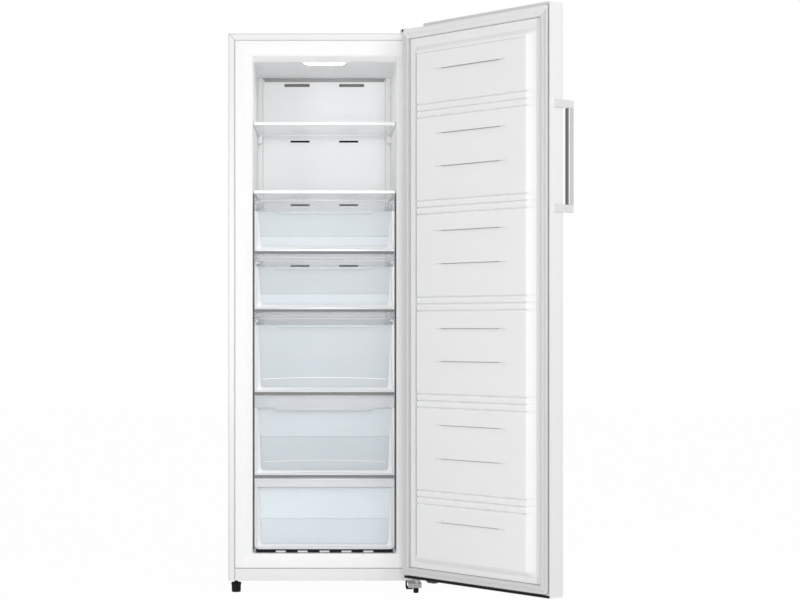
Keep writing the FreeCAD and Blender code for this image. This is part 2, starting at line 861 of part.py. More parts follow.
def make_drawer_front(number, low, high):
    """A clear front: a grip lip over a finger pocket, and a sunk panel with sloping borders."""
    half = cavity_x - s.front_side_gap
    front, deep = s.front_line, panel_back - s.panel_thick
    slab = box(both(half), (front, panel_back), (low, high))
    grip_edge = high - s.grip_side_tall
    outer, inner = half - s.border_rim, half - s.border_bottom
    sunk = frustum(
        (front - 0.01, deep), (-outer, -inner), (outer, inner),
        (low + s.border_rim, low + s.border_top + s.border_rim), (grip_edge, grip_edge),
    )
    pocket_y = (front + s.grip_lip, deep)
    fingers = box(both(cavity_x - s.grip_pocket_inset), pocket_y, (grip_edge - 1, high - s.grip_top_wall))
    below = high - s.grip_middle_tall
    lip_half = s.grip_middle_half + s.grip_slant
    lip = prism("XZ", (front, front + s.grip_lip), [
        (-s.grip_middle_half, below), (s.grip_middle_half, below), (lip_half, grip_edge),
        (lip_half, grip_edge + 1), (-lip_half, grip_edge + 1), (-lip_half, grip_edge),
    ])
    front_pieces = [cut(slab, sunk, fingers), lip]
    if number == 5:
        count = round(float(s.runner_count))
        for index in range(count):
            middle = (index - (s.runner_count - 1) / 2) * s.runner_pitch
            runner_x = (middle - s.runner_wide / 2, middle + s.runner_wide / 2)
            front_pieces.append(box(runner_x, (front, panel_back), (cavity_floor + s.slide_gap, low)))
    node(f"drawer_{number}_front", fuse(*front_pieces))


def make_basket(number, low, high):
    rim, floor = high - s.basket_rim_drop, low + s.basket_lift
    back, half, wall = basket_back(number), cavity_x - s.basket_side_gap, s.basket_wall

    def tub(inset, top, radius):
        x = (inset - half, half - inset)
        body = prism("XY", (floor + inset, top), rectangle(x, (panel_back + inset, back - inset)))
        rear, foot = float(back - inset) - 1, float(floor + inset) + 1
        return round_edges(
            body, radius, lambda way, mid: abs(way.x) > 0.999 and mid.y > rear and mid.z < foot
        )

    outside = tub(size(0), rim, s.basket_round)
    inside = tub(wall, rim + 1, s.basket_round - wall)
    lip_y = (panel_back, back - s.basket_round)
    lips = [
        box(x, lip_y, (rim - s.lip_thick, rim))
        for x in ((half - wall, half + s.basket_lip), (-half - s.basket_lip, wall - half))
    ]
    node(f"drawer_{number}_basket", fuse(cut(outside, inside), *lips))


def make_door():
    x_free, x_hinge = door_free_edge, door_hinge_edge
    fold_free, fold_hinge = x_free + s.door_fold, x_hinge - s.door_fold
    thin = s.sheet
    skin = prism("XY", (skin_bottom, skin_top), [
        (x_free, door_outer), (x_hinge, door_outer), (x_hinge, door_inner), (fold_hinge, door_inner),
        (fold_hinge, door_inner - thin), (x_hinge - thin, door_inner - thin),
        (x_hinge - thin, door_outer + thin), (x_free + thin, door_outer + thin),
        (x_free + thin, door_inner - thin), (fold_free, door_inner - thin), (fold_free, door_inner),
        (x_free, door_inner),
    ])
    outer_line, inner_line = float(door_outer) + 0.1, float(door_outer + thin) + 0.1
    round_edges(
        skin, s.door_corner - thin, lambda way, mid: abs(way.z) > 0.999 and outer_line < mid.y < inner_line
    )
    round_edges(skin, s.door_corner, lambda way, mid: abs(way.z) > 0.999 and mid.y < outer_line)
    node("door_skin", skin, "door")

    field_x = (x_free + s.field_side, x_hinge - s.field_hinge_side)
    field_z = (door_bottom + s.field_bottom, door_top - s.field_top)
    make_door_liner(fold_free, fold_hinge, field_x, field_z)

    foam_back = door_inner - s.liner_skin
    slab_x = (x_free + s.door_corner, x_hinge - s.door_corner)
    slab = box(slab_x, (door_outer + thin, foam_back), (skin_bottom, skin_top))
    raised = field_hollow(field_x, field_z, foam_back - s.liner_skin)
    bush_hole = cylinder((0, 0, skin_bottom - 1), s.bush_radius, s.bush_long)
    top_hole = cylinder((0, 0, notch_floor - s.bush_long), s.bush_radius, s.bush_long)
    node("door_foam", cut(fuse(slab, raised), bush_hole, top_hole), "door")

    make_door_caps(x_free, x_hinge)
    make_gasket(x_free, x_hinge)


def field_hollow(field_x, field_z, start):
    """The space behind the raised field, which the foam fills."""
    skin = s.field_skin
    back, free_back = s.field_slope - skin, s.field_free_slope - skin
    return frustum(
        (start, door_inner + s.field_rise - skin),
        (field_x[0] - free_back, field_x[0] + skin), (field_x[1] + back, field_x[1] - skin),
        (field_z[0] - back, field_z[0] + skin), (field_z[1] + back, field_z[1] - skin),
    )


def make_door_liner(fold_free, fold_hinge, field_x, field_z):
    """Frame sheet with a raised field, groups of three grooves and shallow recessed pads."""
    frame = box(
        (fold_free + s.seam, fold_hinge - s.seam), (door_inner - s.liner_skin, door_inner),
        (skin_bottom, skin_top),
    )
    slope, free_slope = s.field_slope, s.field_free_slope
    surface = door_inner + s.field_rise
    field = frustum(
        (door_inner - s.liner_skin, surface),
        (field_x[0] - free_slope, field_x[0]), (field_x[1] + slope, field_x[1]),
        (field_z[0] - slope, field_z[0]), (field_z[1] + slope, field_z[1]),
    )
    hollow = field_hollow(field_x, field_z, door_inner - 2 * s.liner_skin)
    middle_z = (field_z[0] + field_z[1]) / 2
    middle_x = (field_x[0] + field_x[1]) / 2
    groups = round(float(s.group_count))
    centres = [middle_z + (i - (s.group_count - 1) / 2) * s.group_pitch for i in range(groups)]
    grooves, pads = [], []
    groove_x = (field_x[0] - free_slope, field_x[1] + slope)
    deep, wide = s.groove_deep, 2 * s.groove_half
    for centre in centres:
        for step in (-1, 0, 1):
            z = centre + step * s.groove_pitch
            grooves.append(prism("YZ", groove_x, [
                (surface - deep, z), (surface + deep, z + wide), (surface + deep, z - wide),
            ]))
    pad_centres = [centres[0] - s.group_pitch / 2 + s.pad_spread / 2 + s.end_pad_shift]
    pad_centres += [c + s.group_pitch / 2 + way * s.pad_spread for c in centres[:-1] for way in (-1, 1)]
    pad_centres += [centres[-1] + s.group_pitch / 2 - s.pad_spread / 2 - s.end_pad_shift]
    for centre in pad_centres:
        pad_z = (centre - s.pad_tall / 2, centre + s.pad_tall / 2)
        pads.append(box(
            (middle_x - s.pad_half, middle_x + s.pad_half), (surface - s.pad_sink, surface + 1), pad_z
        ))
    node("door_liner", cut(fuse(frame, field), hollow, group(*grooves), group(*pads)), "door")


def make_door_caps(x_free, x_hinge):
    def block(low, high):
        body = prism("XY", (low, high), rectangle((x_free, x_hinge), (door_outer, door_inner)))
        corner = float(door_outer) + 0.1
        return round_edges(body, s.door_corner, lambda way, mid: abs(way.z) > 0.999 and mid.y < corner)

    notch_x = (x_hinge - s.hinge_notch_long, x_hinge + 1)
    notch = box(notch_x, (door_outer - 1, door_inner + 1), (notch_floor, door_top + 1))
    bore = cylinder((0, 0, skin_top - 1), s.bush_radius, s.top_cap_tall)
    node("door_top_cap", cut(block(skin_top, door_top), notch, bore), "door")
    low_bore = cylinder((0, 0, door_bottom - 1), s.bush_radius, s.bottom_cap_tall + 2)
    node("door_bottom_cap", cut(block(door_bottom, skin_bottom), low_bore), "door")

    hole = s.pin_radius + s.run_gap
    upper = turned([
        (hole, notch_floor - s.bush_long), (s.bush_radius, notch_floor - s.bush_long),
        (s.bush_radius, notch_floor), (hole, notch_floor),
    ])
    lower = turned([
        (hole, door_bottom - s.bush_flange), (s.bush_flange_radius, door_bottom - s.bush_flange),
        (s.bush_flange_radius, door_bottom), (s.bush_radius, door_bottom),
        (s.bush_radius, door_bottom + s.bush_long), (hole, door_bottom + s.bush_long),
    ])
    node("door_bushes", group(upper, lower), "door")

    start = x_hinge - s.stop_start
    stop = prism("YZ", (start - s.stop_long, start), [
        (-s.stop_deep / 2, door_bottom), (-s.stop_deep / 2, door_bottom - s.stop_tall),
        (s.stop_deep / 4, door_bottom - s.stop_tall), (s.stop_deep / 2, door_bottom - s.stop_tall / 2),
        (s.stop_deep / 2, door_bottom),
    ])
    node("door_stop", stop, "door")


def make_gasket(x_free, x_hinge):
    """A square ring: a narrow base, a shoulder lip towards the door's edge, and a head at the cabinet."""
    inset, wide = s.gasket_inset, s.gasket_wide
    rise = s.gasket_end_inset - s.gasket_inset
    seat = door_inner + s.gasket_base
    front = door_inner + s.gasket_gap - s.gasket_relief
    low, high = door_bottom + rise, door_top - rise

    def ring(near, far, y):
        outer = box((x_free + near, x_hinge - near), y, (low + near, high - near))
        inner = box((x_free + far, x_hinge - far), (y[0] - 1, y[1] + 1), (low + far, high - far))
        return cut(outer, inner)

    base = ring(inset + s.gasket_base, inset + wide - s.gasket_base, (door_inner, seat))
    shoulder = ring(inset, inset + wide, (seat, front - s.gasket_step))
    head = ring(inset + s.gasket_shoulder, inset + wide, (front - s.gasket_step, front))
    node("door_gasket", fuse(base, shoulder, head), "door")


def make_handle():
    face = door_free_edge
    bar_near = door_outer - s.bar_stand
    bar_far = bar_near - s.bar_deep
    outside = face - s.block_thick
    bar_inside = outside + s.bar_wide
    low, high = s.handle_bottom, s.handle_bottom + s.handle_tall
    blocks = {
        "lower_handle_block": (low, low + s.block_tall),
        "upper_handle_block": (high - s.block_tall, high),
    }
    for label, (start, end) in blocks.items():
        body = prism("XY", (start, end), [
            (face, door_inner - s.block_start), (outside, door_inner - s.block_start), (outside, bar_far),
            (bar_inside, bar_far), (bar_inside, bar_near), (face, bar_near),
        ])
        node(label, body, "door")
    bar_z = (low + s.block_tall, high - s.block_tall)
    bar = prism("XY", bar_z, rectangle((outside, bar_inside), (bar_far, bar_near)))
    round_edges(bar, s.bar_round, along("Z"))
    node("handle_bar", bar, "door")


def make_hinges():
    plate, x = s.hinge_plate, hinge_x
    x_span = (x - s.hinge_half_wide, x + s.hinge_half_wide)
    raised = top_z + s.hinge_joggle
    tip = hinge_y - s.pin_margin
    bracket = prism("YZ", x_span, [
        (s.hinge_back, top_z), (s.hinge_back, top_z + plate), (s.joggle_back, top_z + plate),
        (s.joggle_front, raised + plate), (tip, raised + plate), (tip, raised),
        (s.joggle_front - plate / 2, raised), (s.joggle_back - plate / 2, top_z),
    ])
    pin_hole = cylinder((x, hinge_y, raised - 1), s.pin_radius, plate + 2)
    node("upper_hinge_bracket", cut(bracket, pin_hole))
    upper_low = notch_floor - s.bush_long
    upper_pin = cylinder((0, 0, upper_low), s.pin_radius, raised + plate - upper_low)

    hood_x = (half_width - s.hood_left, half_width - s.seam)
    hood_y = (s.hood_front, s.hood_front + s.hood_deep)
    hood = prism("XY", (top_z, top_z + s.hood_tall), rectangle(hood_x, hood_y))
    round_edges(hood, s.hood_round, along("Z"))
    wall = s.hood_wall
    inside = box(
        (hood_x[0] + wall, hood_x[1] - wall), (hood_y[0] + wall, hood_y[1] - wall),
        (top_z - 1, top_z + s.hood_tall - wall),
    )
    mouth = box(
        (x_span[0] - s.near, x_span[1] + s.near), (hood_y[0] - 1, hood_y[0] + 2 * wall),
        (top_z - 1, raised + plate + s.near),
    )
    node("hinge_cover", cut(hood, inside, mouth))

    leaf_x = (half_width - s.leaf_wide, half_width)
    leaf_low = base_z - plate
    front = hinge_y - s.pin_margin
    leaf = prism("YZ", leaf_x, [
        (front, base_z - s.leaf_web), (front + plate, base_z - s.leaf_web), (front + plate, leaf_low),
        (s.hinge_back, leaf_low), (s.hinge_back, base_z), (front, base_z),
    ])
    holes = [
        cylinder((x, hinge_y, leaf_low - 1), s.pin_radius, plate + 2),
        cylinder((right_foot_x, s.right_foot_y, leaf_low - 1), s.stud_radius + s.run_gap, plate + 2),
    ]
    node("lower_hinge_bracket", cut(leaf, *holes))
    collar_top = door_bottom - s.bush_flange - s.collar_gap
    low_pin = turned([
        (size(0), leaf_low), (s.pin_radius, leaf_low), (s.pin_radius, base_z), (s.collar_radius, base_z),
        (s.collar_radius, collar_top), (s.pin_radius, collar_top),
        (s.pin_radius, door_bottom + s.bush_long), (size(0), door_bottom + s.bush_long),
    ])
    node("hinge_pins", group(upper_pin, low_pin), at=(x, hinge_y, 0))

    wing_x = leaf_x[0] - s.near
    foot_clear = right_foot_x - s.right_foot_radius - 1
    wing_y = (size(0), s.foot_bracket_long)
    wing = prism("XZ", wing_y, [
        (wing_x - plate, base_z), (wing_x - plate, s.foot_bracket_low), (foot_clear, s.foot_bracket_low),
        (foot_clear, s.foot_bracket_low + plate), (wing_x, s.foot_bracket_low + plate), (wing_x, base_z),
    ])
    node("foot_bracket", wing)


def foot(radius, tall):
    waist, stud = radius - s.foot_taper, s.stud_radius
    return turned([
        (size(0), size(0)), (waist, size(0)), (waist, tall / 2), (radius, tall / 2), (radius, tall),
        (stud, tall), (stud, base_z + s.stud_rise), (size(0), base_z + s.stud_rise),
    ])


def make_feet_and_rollers():
    node("left_foot", foot(s.left_foot_radius, s.left_foot_tall), at=(left_foot_x, s.left_foot_y, 0))
    node("right_foot", foot(s.right_foot_radius, s.right_foot_tall), at=(right_foot_x, s.right_foot_y, 0))

    y = back_y - s.roller_back
    half = s.roller_wide / 2
    radius = s.roller_radius
    sideways = FreeCAD.Rotation(FreeCAD.Vector(0, 1, 0), 90)
    axles = []
    for name, x in roller_places():
        bore = s.axle_radius + s.run_gap
        wheel = turned([(bore, -half), (radius, -half), (radius, half), (bore, half)])
        node(name, wheel, at=(x, y, radius), rotation=sideways)
        reach = half + s.cheek_gap + s.cheek_thick
        axles.append(cylinder((x - reach, y, radius), s.axle_radius, 2 * reach, "X"))
    node("roller_axles", group(*axles))


def make_machine():
    x, y = s.machine_x, back_y - s.machine_back_gap
    foot_z = plate_top + s.grommet_tall
    shell_z = foot_z + s.foot_plate_thick
    r, flange, tall = s.machine_radius, s.weld_flange, s.machine_tall
    seam_z = tall * s.seam_share
    shoulder, crown = r * s.shoulder_share, tall * s.crown_share
    compressor = turned([
        (size(0), size(0)), (shoulder, size(0)), (r, tall - crown), (r, seam_z), (r + flange, seam_z),
        (r + flange, seam_z + flange), (r, seam_z + flange), (r, crown), (shoulder, tall), (size(0), tall),
    ])
    node("compressor", compressor, at=(x, y, shell_z))

    span_x, span_y = s.grommet_span_x / 2, s.grommet_span_y / 2
    margin = s.foot_plate_margin
    plate_x = (x - span_x - margin, x + span_x + margin)
    plate = box(plate_x, (y - span_y - margin, y + span_y + margin), (foot_z, shell_z))
    node("compressor_plate", plate)
    grommets = [
        cylinder((x + i * span_x, y + j * span_y, plate_top), s.grommet_radius, s.grommet_tall)
        for i in (-1, 1) for j in (-1, 1)
    ]
    node("compressor_grommets", group(*grommets))

    relay_x = x + r + s.weld_flange + s.near
    relay_z = (shell_z + s.relay_lift, shell_z + s.relay_lift + s.relay_tall)
    relay_y = (y - s.relay_deep / 2, y + s.relay_deep / 2)
    node("relay_box", box((relay_x, relay_x + s.relay_wide), relay_y, relay_z))

    tray_z = shell_z + tall
    wall = s.tray_wall
    tray_x = (x - s.tray_half_x, x + s.tray_half_x)
    tray_y = (y - s.tray_half_y, y + s.tray_half_y)
    tray = box(tray_x, tray_y, (tray_z, tray_z + s.tray_tall))
    water = box(
        (tray_x[0] + wall, tray_x[1] - wall), (tray_y[0] + wall, tray_y[1] - wall),
        (tray_z + wall, tray_z + s.tray_tall + 1),
    )
    node("drip_tray", cut(tray, water))

    start = (x - r - s.near, y, shell_z + tall * s.pipe_share)
    left = x - r - s.pipe_reach
    route = [start, (left, y, start[2]), (left, y, bay_top)]
    node("suction_pipe", tube(route, s.pipe_radius))

    neck, body = s.dryer_neck, s.dryer_radius
    dryer = turned([
        (size(0), size(0)), (neck, size(0)), (neck, neck * 4), (body, neck * 4),
        (body, s.dryer_long - neck * 4), (neck, s.dryer_long - neck * 4), (neck, s.dryer_long),
        (size(0), s.dryer_long),
    ])
    node("filter_dryer", dryer, at=(s.dryer_x, bay_front + body + s.near, s.dryer_low))

    wall = s.control_wall
    case_x = (s.control_x, s.control_x + s.control_wide)
    case_y = (back_y - s.control_back_gap - s.control_deep, back_y - s.control_back_gap)
    case_z = (plate_top, plate_top + s.control_tall)
    case = box(case_x, case_y, case_z)
    room = box(
        (case_x[0] + wall, case_x[1] - wall), (case_y[0] + wall, case_y[1] - wall),
        (case_z[0] + wall, case_z[1] + 1),
    )
    node("control_box", cut(case, room))


def make_rear_cover():
    thick = s.rear_cover_thick
    cover_x = both(half_width - s.rear_cover_edge)
    body = prism("XZ", (back_y - thick, back_y), rectangle(cover_x, (base_z + s.seam, bay_top - s.seam)))
    middle = (base_z + bay_top) / 2
    first = middle + s.cover_slot_pitch * (s.cover_slot_count - 1) / 2
    span = (back_y - thick - 1, back_y + 1)
    for side in (1, -1):
        start, end = side * s.cover_slot_wide / 3, side * s.cover_slot_wide * 4 / 3
        slot = pocket(body, "XZ", span, rectangle((start, end), (first, first + s.cover_slot_tall)))
        rows = body.newObject("PartDesign::LinearPattern", "SlotRows")
        rows.Originals = [slot]
        rows.Direction = (slot.Profile[0], ["V_Axis"])
        rows.Reversed = True
        bind(rows, "Length", s.cover_slot_pitch * (s.cover_slot_count - 1))
        bind(rows, "Occurrences", s.cover_slot_count)
        body.Tip = rows
    hole = cylinder((s.gland_x, back_y - thick - 1, s.gland_z), s.gland_neck, thick + 2, "Y")
    node("rear_cover", cut(body, hole))
    bore, neck, radius = s.gland_bore, s.gland_neck, s.gland_radius
    gland = turned([
        (bore, -s.gland_out), (neck, -s.gland_out), (neck, thick), (radius, thick), (radius, 2 * thick),
        (bore, 2 * thick),
    ])
    backwards = FreeCAD.Rotation(FreeCAD.Vector(1, 0, 0), -90)
    node("cord_gland", gland, at=(s.gland_x, back_y - thick, s.gland_z), rotation=backwards)


def check_and_write():
    doc.recompute()
    failed = [thing.Label for thing in doc.Objects if {"Invalid", "Error"} & set(thing.State)]
    failed += [piece.Label for piece in NODES if piece.Shape.isNull() or not piece.Shape.isValid()]
    if failed:
        raise RuntimeError(f"these pieces failed: {failed}")
    os.makedirs("parts", exist_ok=True)
    for piece in NODES:
        piece.Shape.exportStep(os.path.join("parts", piece.Label + ".step"))
        print(piece.Label, len(piece.Shape.Solids), "solid(s)", round(piece.Shape.Volume), "mm3")
    print(len(NODES), "nodes")


make_cabinet()
make_liner_and_foam()
make_duct()
make_evaporator()
make_fan()
make_light()
make_shelves()
make_drawers()
make_door()
make_handle()
make_hinges()
make_feet_and_rollers()
make_machine()
make_rear_cover()
check_and_write()
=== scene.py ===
"""Upright freezer: mouldings, clear drawers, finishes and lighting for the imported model.

Each piece has its own operator. Lengths inside the operators are millimetres, in two frames: the
cabinet's, from the middle of its front edge with +Y to the back, and the door's, from its hinge axis.
"""
import math

import bmesh
import bpy
from bpy.props import FloatProperty, FloatVectorProperty
from mathutils import Matrix, Vector


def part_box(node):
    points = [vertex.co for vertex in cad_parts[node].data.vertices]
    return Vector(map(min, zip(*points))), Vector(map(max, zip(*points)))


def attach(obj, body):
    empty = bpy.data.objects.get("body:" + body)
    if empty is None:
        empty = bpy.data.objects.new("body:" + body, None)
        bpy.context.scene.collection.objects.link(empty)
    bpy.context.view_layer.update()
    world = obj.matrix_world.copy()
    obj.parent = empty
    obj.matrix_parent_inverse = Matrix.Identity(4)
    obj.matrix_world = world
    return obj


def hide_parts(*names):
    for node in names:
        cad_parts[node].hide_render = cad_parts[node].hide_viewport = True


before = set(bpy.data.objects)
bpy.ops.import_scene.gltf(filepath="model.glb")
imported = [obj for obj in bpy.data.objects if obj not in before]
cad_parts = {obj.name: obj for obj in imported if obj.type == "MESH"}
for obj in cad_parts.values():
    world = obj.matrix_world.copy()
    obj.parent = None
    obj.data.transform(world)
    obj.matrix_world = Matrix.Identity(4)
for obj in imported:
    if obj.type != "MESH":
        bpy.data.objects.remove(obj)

bl_info = {
    "name": "Upright freezer",
    "version": (1, 0, 0),
    "blender": (4, 5, 0),
    "location": "3D View > Sidebar > Freezer",
    "description": "Mouldings, drawers, door liner and finishes of an upright freezer",
    "category": "Object",
}

MM = 0.001
DOOR_ANGLE = math.radians(131)
shell_low, shell_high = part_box("outer_shell")
pins_low, pins_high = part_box("hinge_pins")
MIDDLE = (shell_low[0] + shell_high[0]) / 2
FRONT = shell_low[1]
HINGE = ((pins_low[0] + pins_high[0]) / 2, (pins_low[1] + pins_high[1]) / 2, 0)
CABINET = Matrix.Translation((MIDDLE, FRONT, 0)) @ Matrix.Scale(MM, 4)
DOOR = Matrix.Translation(HINGE) @ Matrix.Rotation(DOOR_ANGLE, 4, "Z") @ Matrix.Scale(MM, 4)
SEAL_X, SEAL_LOW, SEAL_TOP = (-581.0, 14.0), 65.1, 1744.0 - 13.2  # the seal's rim, on the door
WALL = 220.0  # half the cavity's width
FOOT = 220.4  # where rails and ledges start, a little inside the wall


def span(node, letter, place=CABINET):
    """Lowest and highest millimetre of a node of the cabinet along one direction."""
    low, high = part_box(node)
    index = "XYZ".index(letter)
    back = place.inverted()
    return (back @ Vector(low))[index], (back @ Vector(high))[index]


# ---------------------------------------------------------------- sizes and colours

def colour(label, words, value):
    return FloatVectorProperty(
        name=label, description=words, default=value, size=3, min=0.0, max=1.0, subtype="COLOR"
    )


def amount(label, words, value):
    return FloatProperty(name=label, description=words, default=value, min=0.0)


def length(label, words, value):
    return amount(label, words + ", mm", value)


class FreezerColours(bpy.types.PropertyGroup):
    enamel: colour("Enamel", "Painted steel of the cabinet and the door", (0.87, 0.87, 0.87))
    moulding: colour("Moulding", "Thermoformed liner and door panel", (0.945, 0.947, 0.949))
    duct: colour("Duct cover", "Moulded cover of the air duct", (0.945, 0.947, 0.95))
    clear: colour("Clear plastic", "Grip band and basket walls", (0.56, 0.63, 0.69))
    frosted: colour("Frosted plastic", "Large panel of each drawer front", (0.615, 0.672, 0.712))
    # the rims' light grey stands in for light caught by the clear plastic's bevelled edges: painted
    # reflection
    edge: colour("Rim reflection", "Bright rims of the drawer fronts", (0.78, 0.81, 0.84))
    glass: colour("Shelf glass", "Tempered shelves", (0.78, 0.84, 0.85))
    trim: colour("Shelf trim", "Front strip of each shelf", (0.93, 0.94, 0.95))
    gasket: colour("Gasket", "Magnetic door seal", (0.72, 0.72, 0.72))
    silver: colour("Handle", "Satin silver of the handle bar", (0.60, 0.60, 0.61))
    black: colour("Black plastic", "Feet, bracket and bottom cap", (0.012, 0.012, 0.013))
    steel: colour("Plated steel", "Hinges and screws", (0.36, 0.36, 0.37))


class LinerSizes(bpy.types.PropertyGroup):
    flange_round: length("Flange round", "Radius where the flange turns into the mouth", 2.0)
    mouth_corner: length("Mouth corner", "Corner radius of the mouth", 2.5)
    wall_corner: length("Wall corner", "Corner radius of the cavity", 5.0)
    back_round: length("Back round", "Radius between the walls and the back", 20.0)
    skin: length("Skin", "Thickness of the moulding", 1.6)


class DrawerSizes(bpy.types.PropertyGroup):
    band: length("Grip band", "Height of the clear band at its ends", 38.0)
    band_middle: length("Band middle", "Height of the clear band in the middle", 47.0)
    rim_top: length("Rim at top", "Width of the side rims at the top", 12.5)
    rim_bottom: length("Rim at bottom", "Width of the side rims at the bottom", 20.5)
    foot_rim: length("Bottom rim", "Height of the bottom rim", 15.0)
    first_drop: length("First front", "How much lower the first front starts", 14.0)
    wall: length("Basket wall", "Thickness of the basket", 2.0)


class DoorSizes(bpy.types.PropertyGroup):
    groove_deep: length("Groove depth", "Depth of the cross grooves", 4.6)
    groove_half: length("Groove half width", "Half width of a cross groove", 5.0)
    scoop_deep: length("Scoop depth", "Depth of the shallow scoops", 3.2)
    free_slope: length("Free side slope", "Width of the slope at the free side", 31.0)


class StageSettings(bpy.types.PropertyGroup):
    sky: amount("Sky", "Strength of the even light", 0.51)
    key: amount("Key lamp", "Power of the lamp in front", 64.0)
    fill: amount("Fill lamp", "Power of the lamp above on the right", 26.0)
    door: amount("Door lamp", "Power of the lamp on the left", 13.0)
    lens: amount("Light lens", "Glow of the ceiling light", 20.0)


# ---------------------------------------------------------------- shader node groups

def new_group(name, inputs, outputs):
    tree = bpy.data.node_groups.new(name, "ShaderNodeTree")
    for label, kind, value in inputs:
        socket = tree.interface.new_socket(name=label, in_out="INPUT", socket_type=kind)
        socket.default_value = value
    for label, kind in outputs:
        tree.interface.new_socket(name=label, in_out="OUTPUT", socket_type=kind)
    return tree, tree.nodes.new("NodeGroupInput"), tree.nodes.new("NodeGroupOutput")


def maths(tree, operation, *values):
    node = tree.nodes.new("ShaderNodeMath")
    node.operation = operation
    for socket, value in zip(node.inputs, values):
        if isinstance(value, (int, float)):
            socket.default_value = value
        else:
            tree.links.new(value, socket)
    return node.outputs[0]


def noise(tree, scale, detail=2.0, stretch=None):
    """Noise over the piece's own coordinates, drawn out along one direction if asked."""
    place = tree.nodes.new("ShaderNodeTexCoord").outputs["Object"]
    if stretch:
        mapping = tree.nodes.new("ShaderNodeMapping")
        mapping.inputs["Scale"].default_value = stretch
        tree.links.new(place, mapping.inputs["Vector"])
        place = mapping.outputs["Vector"]
    node = tree.nodes.new("ShaderNodeTexNoise")
    node.inputs["Detail"].default_value = detail
    tree.links.new(place, node.inputs["Vector"])
    tree.links.new(scale, node.inputs["Scale"])
    return node.outputs[0]


def make_tone_group():
    """Slow change of tone over a large surface, with a little change of gloss."""
    tree, given, result = new_group(
        "SurfaceTone",
        [("Colour", "NodeSocketColor", (1, 1, 1, 1)), ("Amount", "NodeSocketFloat", 0.03),
         ("Scale", "NodeSocketFloat", 3.0), ("Roughness", "NodeSocketFloat", 0.4)],
        [("Colour", "NodeSocketColor"), ("Roughness", "NodeSocketFloat")],
    )
    patch = noise(tree, given.outputs["Scale"], 3.0)
    around = maths(tree, "SUBTRACT", patch, 0.5)
    swing = maths(tree, "MULTIPLY", around, given.outputs["Amount"])
    factor = maths(tree, "ADD", swing, 1.0)
    mix = tree.nodes.new("ShaderNodeVectorMath")
    mix.operation = "SCALE"
    tree.links.new(given.outputs["Colour"], mix.inputs[0])
    tree.links.new(factor, mix.inputs["Scale"])
    tree.links.new(mix.outputs[0], result.inputs["Colour"])
    rough = maths(tree, "ADD", given.outputs["Roughness"], maths(tree, "MULTIPLY", around, 0.12))
    tree.links.new(rough, result.inputs["Roughness"])
    return tree


def make_grain_group():
    """Fine moulded or sprayed grain as a height."""
    tree, given, result = new_group(
        "FineGrain",
        [("Scale", "NodeSocketFloat", 900.0), ("Depth", "NodeSocketFloat", 0.5)],
        [("Height", "NodeSocketFloat")],
    )
    grain = noise(tree, given.outputs["Scale"], 2.0)
    tree.links.new(maths(tree, "MULTIPLY", grain, given.outputs["Depth"]), result.inputs["Height"])
    return tree


def make_brushed_group():
    """Long fine lines of rolled or brushed metal, as a height and a mask."""
    tree, given, result = new_group(
        "BrushedLines",
        [("Scale", "NodeSocketFloat", 60.0), ("Depth", "NodeSocketFloat", 0.3)],
        [("Height", "NodeSocketFloat"), ("Mask", "NodeSocketFloat")],
    )
    lines = noise(tree, given.outputs["Scale"], 4.0, (12.0, 12.0, 0.6))
    tree.links.new(maths(tree, "MULTIPLY", lines, given.outputs["Depth"]), result.inputs["Height"])
    tree.links.new(lines, result.inputs["Mask"])
    return tree


def group_tree(name):
    makers = {
        "SurfaceTone": make_tone_group, "FineGrain": make_grain_group, "BrushedLines": make_brushed_group,
    }
    return bpy.data.node_groups.get(name) or makers[name]()


def place_group(tree, name, **values):
    node = tree.nodes.new("ShaderNodeGroup")
    node.node_tree = group_tree(name)
    for label, value in values.items():
        node.inputs[label].default_value = value
    return node


# ---------------------------------------------------------------- finishes

